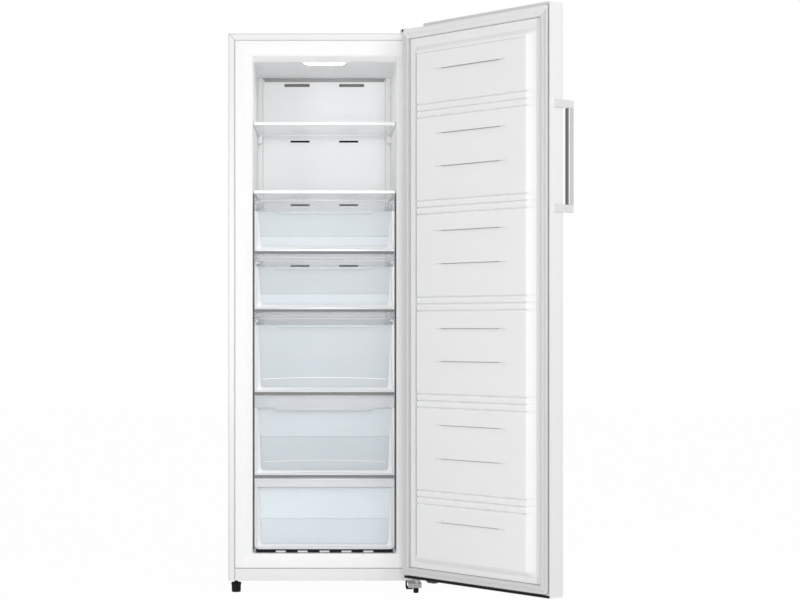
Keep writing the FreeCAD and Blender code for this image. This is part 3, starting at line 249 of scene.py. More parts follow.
def finish(
    name, base, roughness, metallic=0.0, coat=0.0, alpha=1.0, edge_alpha=None, glow=0.0,
    tone=0.03, tone_scale=3.0, grain=900.0, depth=0.4, bump=0.05, brushed=False, shine=0.5,
    through=0.0,
):
    """A named finish: tone drift, grain and gloss on one Principled shader."""
    known = bpy.data.materials.get(name)
    if known:
        return known
    material = bpy.data.materials.new(name)
    material.use_nodes = True
    tree = material.node_tree
    shader = tree.nodes["Principled BSDF"]
    shader.inputs["Metallic"].default_value = metallic
    shader.inputs["Coat Weight"].default_value = coat
    shader.inputs["Specular IOR Level"].default_value = shine
    shader.inputs["Coat Roughness"].default_value = 0.12
    surface = place_group(
        tree, "SurfaceTone", Colour=(*base, 1.0), Amount=tone, Scale=tone_scale, Roughness=roughness
    )
    tree.links.new(surface.outputs["Colour"], shader.inputs["Base Color"])
    rough = surface.outputs["Roughness"]
    if brushed:
        fine = place_group(tree, "BrushedLines", Depth=depth)
        rough = maths(tree, "ADD", rough, maths(tree, "MULTIPLY", fine.outputs["Mask"], 0.1))
    else:
        fine = place_group(tree, "FineGrain", Scale=grain, Depth=depth)
    tree.links.new(rough, shader.inputs["Roughness"])
    bumps = tree.nodes.new("ShaderNodeBump")
    bumps.inputs["Strength"].default_value = bump
    bumps.inputs["Distance"].default_value = 0.0005
    tree.links.new(fine.outputs["Height"], bumps.inputs["Height"])
    tree.links.new(bumps.outputs["Normal"], shader.inputs["Normal"])
    if glow:
        shader.inputs["Emission Color"].default_value = (*base, 1.0)
        shader.inputs["Emission Strength"].default_value = glow
    shader.inputs["Alpha"].default_value = alpha
    cover = alpha
    if edge_alpha is not None:
        facing = tree.nodes.new("ShaderNodeLayerWeight")
        facing.inputs["Blend"].default_value = 0.35
        rise = maths(tree, "MULTIPLY", facing.outputs["Facing"], edge_alpha - alpha)
        cover = maths(tree, "ADD", rise, alpha)
    if through:
        path = tree.nodes.new("ShaderNodeLightPath")
        spread = maths(tree, "MAXIMUM", path.outputs["Is Shadow Ray"], path.outputs["Is Diffuse Ray"])
        cover = maths(tree, "MULTIPLY", maths(tree, "MULTIPLY_ADD", spread, -through, 1.0), cover)
    if cover is not alpha:
        tree.links.new(cover, shader.inputs["Alpha"])
    return material


def finishes():
    """Every finish of the freezer by its plain name."""
    c = bpy.context.scene.freezer_colours
    stage = bpy.context.scene.freezer_stage

    # copies of the frosted plastic scaled brighter or darker by a share: painted light and shade for single
    # drawer zones
    def frosted(name, share):
        base = [min(0.97, value * share) for value in c.frosted]
        return finish(name, base, 0.30, alpha=0.74, bump=0.0, tone=0.16, tone_scale=5.0, through=0.75)

    def clear(name, base, rough, alpha, edge_alpha, tone=0.02, through=0.8):
        return finish(
            name, base, rough, alpha=alpha, edge_alpha=edge_alpha, bump=0.0, tone=tone, through=through
        )

    def satin(name, base, rough=0.42):
        return finish(name, base, rough, grain=1400.0, bump=0.08)

    def flat(name, grey, rough, shine=0.5):
        return finish(name, (grey, grey, grey), rough, bump=0.0, shine=shine)

    return {
        "enamel": finish("WhiteEnamel", c.enamel, 0.34, coat=0.25, grain=260.0, depth=0.5, bump=0.04),
        "moulding": satin("SatinMoulding", c.moulding),
        "duct": finish("DuctMoulding", c.duct, 0.40, grain=1400.0, bump=0.08, tone=0.05),
        "clear": clear("ClearPlastic", c.clear, 0.10, 0.05, 0.40),
        "basket": clear("BasketPlastic", c.clear, 0.14, 0.035, 0.36),
        "frosted": finish(
            "FrostedPlastic", c.frosted, 0.30, alpha=0.70, bump=0.0, tone=0.20, tone_scale=5.0, through=0.75
        ),
        # the rims' light grey stands in for light caught by the clear plastic's bevels: painted reflection
        "edge": finish("RimReflection", c.edge, 0.18, coat=0.4, alpha=0.93, bump=0.02, through=0.6),
        "glass": clear("ShelfGlass", c.glass, 0.16, 0.07, 0.30, 0.01, 0.7),
        "trim": finish("ShelfTrim", c.trim, 0.22, coat=0.3, bump=0.02),
        "shade": satin("ShadedMoulding", (0.52, 0.53, 0.54), 0.5),
        # lit and shaded copies of the frosted plastic: painted light and shade on the drawer panels
        "frosted_lit_lower": frosted("FrostedLitLower", 1.12),
        "frosted_shaded_second": frosted("FrostedShadedSecond", 0.92),
        "frosted_lit_fourth": frosted("FrostedLitFourth", 1.08),
        "frosted_shaded_deep": frosted("FrostedShadedDeep", 0.99),
        "frosted_lit_fifth": frosted("FrostedLitFifth", 1.32),
        "frosted_lit_foot": frosted("FrostedLitFoot", 1.24),
        # darker grey for faces that look into the door: painted shade of the gasket
        "fold": finish("FoldShade", (0.70, 0.70, 0.70), 0.40, coat=0.1, bump=0.02),
        "block": finish("HandleBlock", (0.76, 0.76, 0.77), 0.36, coat=0.2, bump=0.02),
        # painted shade lines, and lit, darker and shaded copies of the moulding where light and shade fall on
        # it
        "outline": flat("ShadedEdge", 0.50, 0.45),
        "soft_crease_shade": flat("SoftCreaseShade", 0.70, 0.5),
        "lit": flat("LitMoulding", 0.98, 0.42),
        "flange": satin("FlangeShadedMoulding", (0.94, 0.942, 0.944)),
        "shaded_flare": satin("ShadedFlareMoulding", (0.87, 0.872, 0.874)),
        "dim_shade": satin("DimShadedMoulding", (0.82, 0.82, 0.82), 0.45),
        # lighter copy of the gasket for the seal's top corner: painted light
        "lit_gasket_end": finish("LitGasketEnd", (0.90, 0.90, 0.90), 0.55, grain=700.0, bump=0.08),
        # whiter copies of the clear plastic for the lower grip bands: painted light
        "lit_band_fourth": clear("LitBandFourth", (0.78, 0.82, 0.86), 0.16, 0.40, 0.7, 0.03, 0.0),
        "lit_band_fifth": clear("LitBandFifth", (0.94, 0.96, 0.98), 0.16, 0.62, 0.8, 0.03, 0.0),
        # near-white for thin painted highlights on edges and lines
        "painted_highlight": finish("PaintedHighlight", (0.96, 0.97, 0.98), 0.20, coat=0.3, bump=0.0),
        # darker line along the grip band's lower edge: painted shade
        "band_edge_shade": finish("BandEdgeShade", (0.46, 0.50, 0.54), 0.25, alpha=0.8, bump=0.0),
        # dark plastic of the door stop, also used as painted shade behind the fifth drawer's feet
        "slate_and_shade": finish("SlatePlasticAndShade", (0.07, 0.075, 0.085), 0.55, bump=0.0, shine=0.2),
        # near-black for gaps, slots and holes: painted shadow
        "painted_shadow": finish("PaintedShadow", (0.015, 0.016, 0.018), 0.7, bump=0.0, shine=0.1),
        "seam": flat("SeamShadow", 0.42, 0.6),
        # dark grey for crease and gap lines: painted shade
        "crease": flat("PaintedCreaseShade", 0.28, 0.6, 0.2),
        # dark grey brushed finish as painted shade on the handle bar's inner face and behind the duct's top
        # slots
        "channel": finish("ChannelShade", (0.20, 0.20, 0.20), 0.5, brushed=True, bump=0.05),
        "lens": finish("LightLens", (0.97, 0.98, 1.0), 0.30, glow=stage.lens, bump=0.03),
        "gasket": finish("GasketVinyl", c.gasket, 0.55, grain=700.0, bump=0.08),
        "silver": finish("SatinSilver", c.silver, 0.30, metallic=0.55, brushed=True, bump=0.06),
        "black": finish("BlackPlastic", c.black, 0.55, grain=800.0, bump=0.15, tone=0.2, shine=0.12),
        "steel": finish("PlatedSteel", c.steel, 0.30, metallic=0.9, brushed=True, bump=0.08),
        "shaded_steel": finish("ShadedSteel", (0.30, 0.30, 0.31), 0.4, metallic=0.6, brushed=True, bump=0.08),
        "zinc": finish(
            "ZincSheet", (0.60, 0.61, 0.62), 0.42, metallic=0.8, tone=0.2, tone_scale=25.0, bump=0.06
        ),
        "foam": finish("PolyurethaneFoam", (0.80, 0.66, 0.38), 0.85, grain=500.0, bump=0.4, tone=0.15),
        "dark_steel": finish("BlackEnamel", (0.02, 0.02, 0.022), 0.25, coat=0.3, grain=300.0, bump=0.05),
        "copper": finish("CopperTube", (0.72, 0.34, 0.20), 0.28, metallic=0.95, tone=0.2, tone_scale=30.0),
        "aluminium": finish(
            "AluminiumSheet", (0.72, 0.73, 0.74), 0.34, metallic=0.9, brushed=True, bump=0.08
        ),
        "grey": finish("GreyPlastic", (0.32, 0.33, 0.34), 0.45, grain=900.0, bump=0.12),
        "rubber": finish("BlackRubber", (0.016, 0.016, 0.016), 0.75, grain=600.0, bump=0.2),
        "board": finish("CircuitBoard", (0.70, 0.72, 0.70), 0.4, tone=0.1, tone_scale=80.0),
    }


# ---------------------------------------------------------------- forms

def rounded_rectangle(x, z, radius, steps=5):
    """Corner points of a rectangle with round corners, from its two spans."""
    radius = max(radius, 0.001)
    points = []
    for cx, cz, start in (
        (x[1] - radius, z[1] - radius, 0), (x[0] + radius, z[1] - radius, 90),
        (x[0] + radius, z[0] + radius, 180), (x[1] - radius, z[0] + radius, 270),
    ):
        for i in range(steps + 1):
            turn = math.radians(start + 90 * i / steps)
            points.append((cx + radius * math.cos(turn), cz + radius * math.sin(turn)))
    return points


def rounded_outline(corners, radius, steps=5):
    """Any outline with its outward and inward corners rounded alike."""
    points, count = [], len(corners)
    for i in range(count):
        before, corner, after = (Vector(corners[k % count]) for k in (i - 1, i, i + 1))
        back, on = (before - corner).normalized(), (after - corner).normalized()
        for k in range(steps + 1):
            share = k / steps
            bend = math.sin(math.pi * share / 2), math.cos(math.pi * share / 2)
            centre = corner + (back + on) * radius
            points.append(tuple(centre - on * radius * bend[1] - back * radius * bend[0]))
    return points


def mirrored(side, first, second):
    """The span between two distances from the middle, on one side of it."""
    return sorted((side * first, side * second))


def standing(points, y):
    return [(x, y, z) for x, z in points]


def lying(points, z):
    return [(x, y, z) for x, y in points]


class Form:
    """Points and faces of one mesh while it is made, in millimetres."""

    def __init__(self):
        self.points, self.faces, self.finishes = [], [], []

    def face(self, corners, finish_index):
        self.faces.append(tuple(corners))
        self.finishes.append(finish_index)

    def loft(self, rings, caps=(True, True), finish_index=0, closed=False):
        """A skin through rings of the same number of points, with one finish or one for each column."""
        first, count = len(self.points), len(rings[0])
        for ring in rings:
            self.points += ring
        total = len(rings)
        columns = finish_index if isinstance(finish_index, list) else [finish_index] * count
        for row in range(total if closed else total - 1):
            a, b = first + row * count, first + (row + 1) % total * count
            for i in range(count):
                j = (i + 1) % count
                self.face((a + i, a + j, b + j, b + i), columns[i])
        if caps[0] and not closed:
            self.face(range(first + count - 1, first - 1, -1), columns[0])
        if caps[1] and not closed:
            last = first + (total - 1) * count
            self.face(range(last, last + count), columns[0])
        return self

    def block(self, x, y, z, radius=0.8, steps=2, finish_index=0):
        """A block with all its edges rounded."""
        radius = min(radius, *(abs(b - a) * 0.49 for a, b in (x, y, z)))
        rings = []
        for top in (False, True):
            for i in range(steps + 1):
                turn = math.pi / 2 * (i / steps if top else 1 - i / steps)
                inset, rise = radius * (1 - math.cos(turn)), radius * (1 - math.sin(turn))
                outline = rounded_rectangle(
                    (x[0] + inset, x[1] - inset), (y[0] + inset, y[1] - inset), radius - inset, steps
                )
                rings.append(lying(outline, z[1] - rise if top else z[0] + rise))
        return self.loft(rings, finish_index=finish_index)

    def turned(self, profile, centre, axis="Z", sides=40, finish_index=0):
        """A turned solid from (radius, height) points, from one end of its axis to the other."""
        rings = []
        for radius, height in profile:
            ring = []
            for i in range(sides):
                turn = 2 * math.pi * i / sides
                a, b = radius * math.cos(turn), radius * math.sin(turn)
                offset = {"Z": (a, b, height), "Y": (a, height, b)}[axis]
                ring.append(tuple(c + o for c, o in zip(centre, offset)))
            rings.append(ring)
        return self.loft(rings, finish_index=finish_index)

    def slab(self, outline, y, finish_index=0):
        """A flat plate from an outline of (x, z) points between two depths."""
        return self.loft([standing(outline, y[0]), standing(outline, y[1])], finish_index=finish_index)

    def mesh(self, name, place, sharp):
        mesh = bpy.data.meshes.new(name)
        mesh.from_pydata([place @ Vector(point) for point in self.points], [], self.faces)
        for polygon, index in zip(mesh.polygons, self.finishes):
            polygon.material_index = index
        work = bmesh.new()
        work.from_mesh(mesh)
        bmesh.ops.remove_doubles(work, verts=work.verts, dist=0.00001)
        bmesh.ops.dissolve_degenerate(work, edges=work.edges, dist=0.00001)
        bmesh.ops.recalc_face_normals(work, faces=work.faces)
        work.to_mesh(mesh)
        work.free()
        mesh.shade_smooth()
        mesh.set_sharp_from_angle(angle=math.radians(sharp))
        return mesh


def add_piece(name, mesh, body, nodes, materials):
    piece = bpy.data.objects.new(name, mesh)
    bpy.context.scene.collection.objects.link(piece)
    for material in materials:
        mesh.materials.append(material)
    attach(piece, body)
    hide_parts(*nodes)
    return piece


def make(name, form, body, node, materials, place=CABINET, sharp=35.0):
    """A piece of the form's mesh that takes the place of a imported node."""
    return add_piece(name, form.mesh(name, place, sharp), body, [node], materials)


def softened(node, body, material, width=0.6, segments=2):
    """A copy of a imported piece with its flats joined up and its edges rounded."""
    work = bmesh.new()
    work.from_mesh(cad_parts[node].data)
    bmesh.ops.remove_doubles(work, verts=work.verts, dist=0.00002)
    bmesh.ops.dissolve_limit(work, angle_limit=math.radians(0.5), verts=work.verts, edges=work.edges)
    mesh = bpy.data.meshes.new(node + "_soft")
    work.to_mesh(mesh)
    work.free()
    mesh.shade_smooth()
    mesh.set_sharp_from_angle(angle=math.radians(35))
    piece = add_piece(node + "_soft", mesh, body, [node], [material])
    bevel = piece.modifiers.new("Edges", "BEVEL")
    bevel.width, bevel.segments = width * MM, segments
    bevel.limit_method, bevel.angle_limit = "ANGLE", math.radians(30)
    bevel.miter_outer = "MITER_ARC"
    piece.modifiers.new("Normals", "WEIGHTED_NORMAL").keep_sharp = True
    return piece


def score(piece, point, direction, half, material, towards, top=None, reach=10.0):
    """A thin painted shade line on the faces that look one way, on both sides of a plane through a point."""
    mesh, way, start = piece.data, Vector(direction).normalized(), CABINET @ Vector(point)
    mesh.materials.append(material)
    work = bmesh.new()
    work.from_mesh(mesh)
    cuts = [(start + way * side * MM, way) for side in (-half, half)]
    if top:
        cuts.append(((0, 0, top * MM), (0, 0, 1)))
    for place, normal in cuts:
        bmesh.ops.bisect_plane(
            work, geom=work.verts[:] + work.edges[:] + work.faces[:], dist=0.000001,
            plane_co=place, plane_no=normal,
        )
    work.normal_update()
    for face in work.faces:
        centre = face.calc_center_median()
        away = abs((centre - start).dot(way))
        near = (centre - start).length < reach and (top is None or centre.z < top * MM)
        if away < half * MM and near and face.normal.dot(Vector(towards)) > 0.9:
            face.material_index = len(mesh.materials) - 1
    work.to_mesh(mesh)
    work.free()


def paint(use, **labels):
    """Finishes, by their names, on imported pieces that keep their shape."""
    for node, label in labels.items():
        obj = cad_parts[node]
        if not obj.material_slots:
            obj.data.materials.append(None)
        for slot in obj.material_slots:
            slot.link = "OBJECT"
            slot.material = use[label]


# ---------------------------------------------------------------- operators

class PieceOperator:
    bl_options = {"REGISTER", "UNDO"}

    def execute(self, context):
        self.build(context.scene, finishes())
        return {"FINISHED"}


class FREEZER_OT_cabinet(PieceOperator, bpy.types.Operator):
    """Painted wrapper, back panel, base plate and kick strip"""
    bl_idname = "freezer.cabinet"
    bl_label = "Cabinet shell"

    def build(self, scene, use):
        shell = softened("outer_shell", "cabinet", use["enamel"], 0.7)
        ahead = (0, -1, 0)
        # painted shade: thin dark lines along the seam beside the liner's flange and along the shell's folded
        # front edges
        for side in (-1, 1):
            score(shell, (side * 278.5, 0, 800.0), (1, 0, 0), 0.95, use["seam"], ahead, 1714.5)
            score(shell, (side * 297.5, 0, 1734.0), (1, 0, -side), 0.8, use["outline"], ahead, None, 0.06)
            score(shell, (side * 296.4, 0, 800.0), (1, 0, 0), 1.0, use["outline"], ahead)
        score(shell, (0, 0, 1732.9), (0, 0, 1), 0.9, use["outline"], ahead)
        # thin strips of seam shadow round the liner's flange: painted shade in the seam
        seams = Form()
        for side in (-1, 1):
            seams.block(mirrored(side, 275.0, 277.45), (1.9, 2.3), (77.0, 1714.0), 0.1)
        seams.block((-277.4, 277.4), (1.9, 2.3), (1712.0, 1714.4), 0.1)
        seams.block((-277.4, 277.4), (1.9, 2.3), (75.0, 79.0), 0.1)
        make("shell_seams", seams, "cabinet", "outer_shell", [use["seam"]])
        softened("kick_strip", "cabinet", use["enamel"], 0.6)
        softened("back_panel", "cabinet", use["zinc"], 0.3)
        paint(use, base_plate="zinc", cabinet_foam="foam")


class FREEZER_OT_liner(PieceOperator, bpy.types.Operator):
    """Thermoformed liner with its flared mouth, rails, ledges, pillars and machine step"""
    bl_idname = "freezer.liner"
    bl_label = "Liner"

    def build(self, scene, use):
        sizes = scene.freezer_liner
        flange_x, flange_z = span("inner_liner", "X"), span("inner_liner", "Z")
        top, floor, back = 1649.0, 124.0, 510.0
        flare_x, flare_top, flare_floor, deep, bend = 23.0, 17.0, 1.5, 25.0, 5.0
        turn, wall_corner = sizes.flange_round, sizes.wall_corner

        def mouth(y, grow, corner):
            share = max(0.0, 1 - y / deep)
            aside = 0.2 * share if y > bend else 0.16 + 0.84 * (1 - y / bend)
            x = WALL + flare_x * aside + grow
            z_top, z_low = top + flare_top * share + grow, floor - flare_floor * share - grow
            return standing(rounded_rectangle((-x, x), (z_low, z_top), corner), y)

        rings = []
        for y, aside, low, high, corner in (
            (2.0, 0.0, 0.0, 0.0, 1.5), (1.6, 0.3, 1.9, 1.0, 1.2), (0.4, 0.3, 1.9, 1.0, 1.2),
            (0.0, 0.6, 2.3, 1.4, 1.2),
        ):
            x, z = flange_x[1] - aside, (flange_z[0] + low, flange_z[1] - high)
            rings.append(standing(rounded_rectangle((-x, x), z, corner), y))
        for y, grow in ((0.0, turn * 0.6), (0.5, turn * 0.15), (2.0, 0.0), (bend, 0.0), (bend + 0.6, 0.0)):
            rings.append(mouth(y, grow, sizes.mouth_corner))
        for y, grow in ((deep - 3.0, 0.0), (deep, 0.2), (deep + 3.0, 0.0)):
            rings.append(mouth(y, grow, wall_corner))
        back_round = sizes.back_round
        for i in range(6):
            angle = math.pi / 2 * i / 5
            grow = -back_round * (1 - math.cos(angle))
            y = back - back_round * (1 - math.sin(angle))
            rings.append(mouth(y, grow, wall_corner))
        outside = [mouth(y, sizes.skin, wall_corner) for y in (back + sizes.skin, deep)]
        outside.append(mouth(2.5, sizes.skin * 1.5, sizes.mouth_corner))
        form = Form().loft(rings + outside, caps=(False, False))
        count, outer_ring = len(rings[0]), len(rings)
        first, dark_faces = outer_ring * count, 2 * count
        # close the back wall inside and outside, and open the strip between the two rings
        form.faces = [
            f for f in form.faces
            if not (f[0] // count == outer_ring - 1 and f[2] // count == outer_ring)
        ]
        # the first two rows of faces, the recess round the flange's border, take the painted seam shadow
        form.finishes = [1] * dark_faces + [0] * (len(form.faces) - dark_faces)
        form.face(range(first - count, first), 0)
        form.face(range(first + count - 1, first - 1, -1), 0)
        # the flange's back joins the outside of the mouth
        last = (len(rings) + len(outside) - 1) * count
        for i in range(count):
            j = (i + 1) % count
            form.face((last + i, last + j, j, i), 0)

        # near-black strips in the side gaps beside the drawers, and small dashes under the upper four drawer
        # fronts: painted shadow
        gaps = Form()
        for side in (-1, 1):
            gaps.block(mirrored(side, 218.7, 219.9), (14.0, 27.0), (133.0, 1238.0), 0.4)
            for number in range(1, 5):
                low = span(f"drawer_{number}_front", "Z")[0]
                gaps.block(mirrored(side, 192.6, 195.6), (26.6, 28.4), (low - 9.0, low - 6.5), 0.3)
        make("liner_side_gap_shadows", gaps, "cabinet", "inner_liner", [use["painted_shadow"]])
        self.add_step(form)
        self.add_bars(form)
        moulding = make(
            "liner_moulding", form, "cabinet", "inner_liner",
            [use[label] for label in ("moulding", "seam", "flange", "lit", "shaded_flare")], sharp=40,
        )
        # painted light and shade on the mouth: the front flange takes a slightly darker copy of the moulding,
        # the flare on the +X side a shaded copy where the door's shade falls, and the flare under the top a
        # lit copy
        for polygon in moulding.data.polygons:
            if polygon.material_index:
                continue
            x, y, z = CABINET.inverted() @ polygon.center
            if y < 1.0:
                polygon.material_index = 2
            elif y < deep and x > WALL - 1:
                polygon.material_index = 4
            elif y < deep and z > top - 1:
                polygon.material_index = 3

    @staticmethod
    def add_step(form):
        """The step over the machine bay."""
        form.block((-219.5, 219.5), (245.0, 511.0), (123.0, 350.0), 4.0, 3)

    @staticmethod
    def add_bars(form):
        """Drawer rails with their stops, shelf ledges and the corner pillars."""
        for number in range(1, 6):
            rim = span(f"drawer_{number}_basket", "Z")[1]
            rear = span(f"drawer_{number}_basket", "Y")[1]
            high = rim - 2.8
            for side in (-1, 1):
                rail, stop = mirrored(side, FOOT, WALL - 13.0), mirrored(side, FOOT, WALL - 8.0)
                form.block(rail, (31.0, rear - 14.0), (high - 8.0, high), 1.5)
                form.block(stop, (31.0, 46.0), (high - 24.0, high - 1.0), 2.5)
        for number in (1, 2):
            level, rear = span(f"shelf_{number}_glass", "Z")[0], span(f"shelf_{number}_glass", "Y")[1]
            for side in (-1, 1):
                form.block(mirrored(side, FOOT, 212.0), (31.0, rear), (level - 3.5, level), 1.2)
                clip = mirrored(side, FOOT, 204.0)
                form.block(clip, (rear - 34.0, rear), (level - 26.0, level - 1.0), 4.0)
        for side in (-1, 1):
            for inner, y in ((203.0, 395.0), (193.0, 420.0)):
                form.block(mirrored(side, FOOT, inner), (y, 510.5), (346.0, 1649.5), 3.0, 3)


class FREEZER_OT_duct(PieceOperator, bpy.types.Operator):
    """Cover of the air duct with its slots, and the parts behind it"""
    bl_idname = "freezer.duct"
    bl_label = "Air duct"

    def build(self, scene, use):
        cover = softened("duct_cover", "cabinet", use["duct"], 0.7)
        for corner in cover.data.vertices:
            for row, shift in ((1441.0, -2.2), (1231.0, -2.5), (1021.0, 6.2)):  # rows of slots
                if abs(corner.co.z / MM - row) < 6:
                    corner.co.z += shift * MM
        low, high = span("duct_cover", "Z")
        front, back = span("duct_cover", "Y")
        x = span("duct_cover", "X")
        lip = Form().block((x[0] + 4, x[1] - 4), (back - 7, back - 1), (high - 20, high - 0.2), 1.0)
        make("duct_lip", lip, "cabinet", "duct_cover", [use["shade"]])
        # near-black blocks behind the lower slot rows and grey ones behind the top row: painted shadow in the
        # slots
        recess = Form()
        for z, far in ((1625.0, 136.0), (1439.0, 115.0), (1228.5, 115.0), (1027.0, 115.0)):
            for side in (-1, 1):
                recess.block(
                    mirrored(side, 45.0, far), (front + 7, front + 12), (z - 9, z + 9), 0.5,
                    finish_index=int(z > 1600),
                )
        # dark strips in the gap beside each side of the cover: painted shade; duct-coloured strips along the
        # cover's edges
        for side in (-1, 1):
            line = mirrored(side, x[1] + 1.4, x[1] + 2.5)
            recess.block(line, (front + 2, back - 2), (low + 2, high - 14), 0.3, finish_index=2)
            edge = mirrored(side, x[1] - 4, x[1] + 1.5)
            recess.block(edge, (front + 0.6, back - 4), (low + 2, high - 8), 0.5, finish_index=3)
        make(
            "duct_slot_shadows", recess, "cabinet", "duct_cover",
            [use[label] for label in ("painted_shadow", "channel", "crease", "duct")],
        )
        paint(
            use, evaporator_fins="aluminium", evaporator_coil="aluminium", defrost_heater="steel",
            fan_shroud="moulding", fan_motor="grey", fan_blade="grey",
        )


class FREEZER_OT_light(PieceOperator, bpy.types.Operator):
    """Milky ceiling light"""
    bl_idname = "freezer.light"
    bl_label = "Ceiling light"

    def build(self, scene, use):
        low, high = span("light_lens", "Z")
        front, back = span("light_lens", "Y")

        def outline(inset, corner):
            wide, narrow = 76.0 - inset * 1.3, 56.0 - inset * 1.3
            y0, y1 = front + inset, back - inset
            points = []
            for x, y, start in ((wide, y0, 270), (narrow, y1, 0), (-narrow, y1, 90), (-wide, y0, 180)):
                sx, sy = (1 if x > 0 else -1), (1 if y > y0 else -1)
                for i in range(7):
                    turn = math.radians(start + 90 * i / 6)
                    points.append((
                        x - sx * corner + corner * math.cos(turn), y - sy * corner + corner * math.sin(turn)
                    ))
            return points

        round_edge = (high - low) * 0.7
        rings = [lying(outline(0.0, 9.0), high)]
        for i in range(5):
            angle = math.pi / 2 * i / 4
            inset = round_edge * (1 - math.cos(angle))
            rings.append(lying(outline(inset, 9.0), low + round_edge * (1 - math.sin(angle))))
        form = Form().loft(rings, finish_index=1)
        window = [(-63.0, front + 3.0), (63.0, front + 3.0), (52.0, 62.0), (-52.0, 62.0)]
        form.loft([lying(window, low), lying(window, low - 0.6)])
        make("light_cover", form, "cabinet", "light_lens", [use["lens"], use["duct"]])
        paint(use, led_board="board")


class FREEZER_OT_shelves(PieceOperator, bpy.types.Operator):
    """Glass shelves with their front trims"""
    bl_idname = "freezer.shelves"
    bl_label = "Shelves"

    def build(self, scene, use):
        for number in (1, 2):
            softened(f"shelf_{number}_glass", "cabinet", use["glass"], 0.6, 2)
            softened(f"shelf_{number}_trim", "cabinet", use["trim"], 0.9, 3)
            low, high = span(f"shelf_{number}_glass", "Z")
            rear = span(f"shelf_{number}_glass", "Y")[1]
            x = span(f"shelf_{number}_glass", "X")[1]
            strip = Form().block((-x, x), (rear - 9, rear), (low - 1.2, high + 1.6), 0.8)
            for side in (-1, 1):
                ends = mirrored(side, x + 0.6, x - 14)
                strip.block(ends, (rear - 26, rear - 0.5), (low - 9, low - 1), 2.0)
            make(
                f"shelf_{number}_rear_strip", strip, "cabinet", f"shelf_{number}_trim", [use["trim"]],
            )


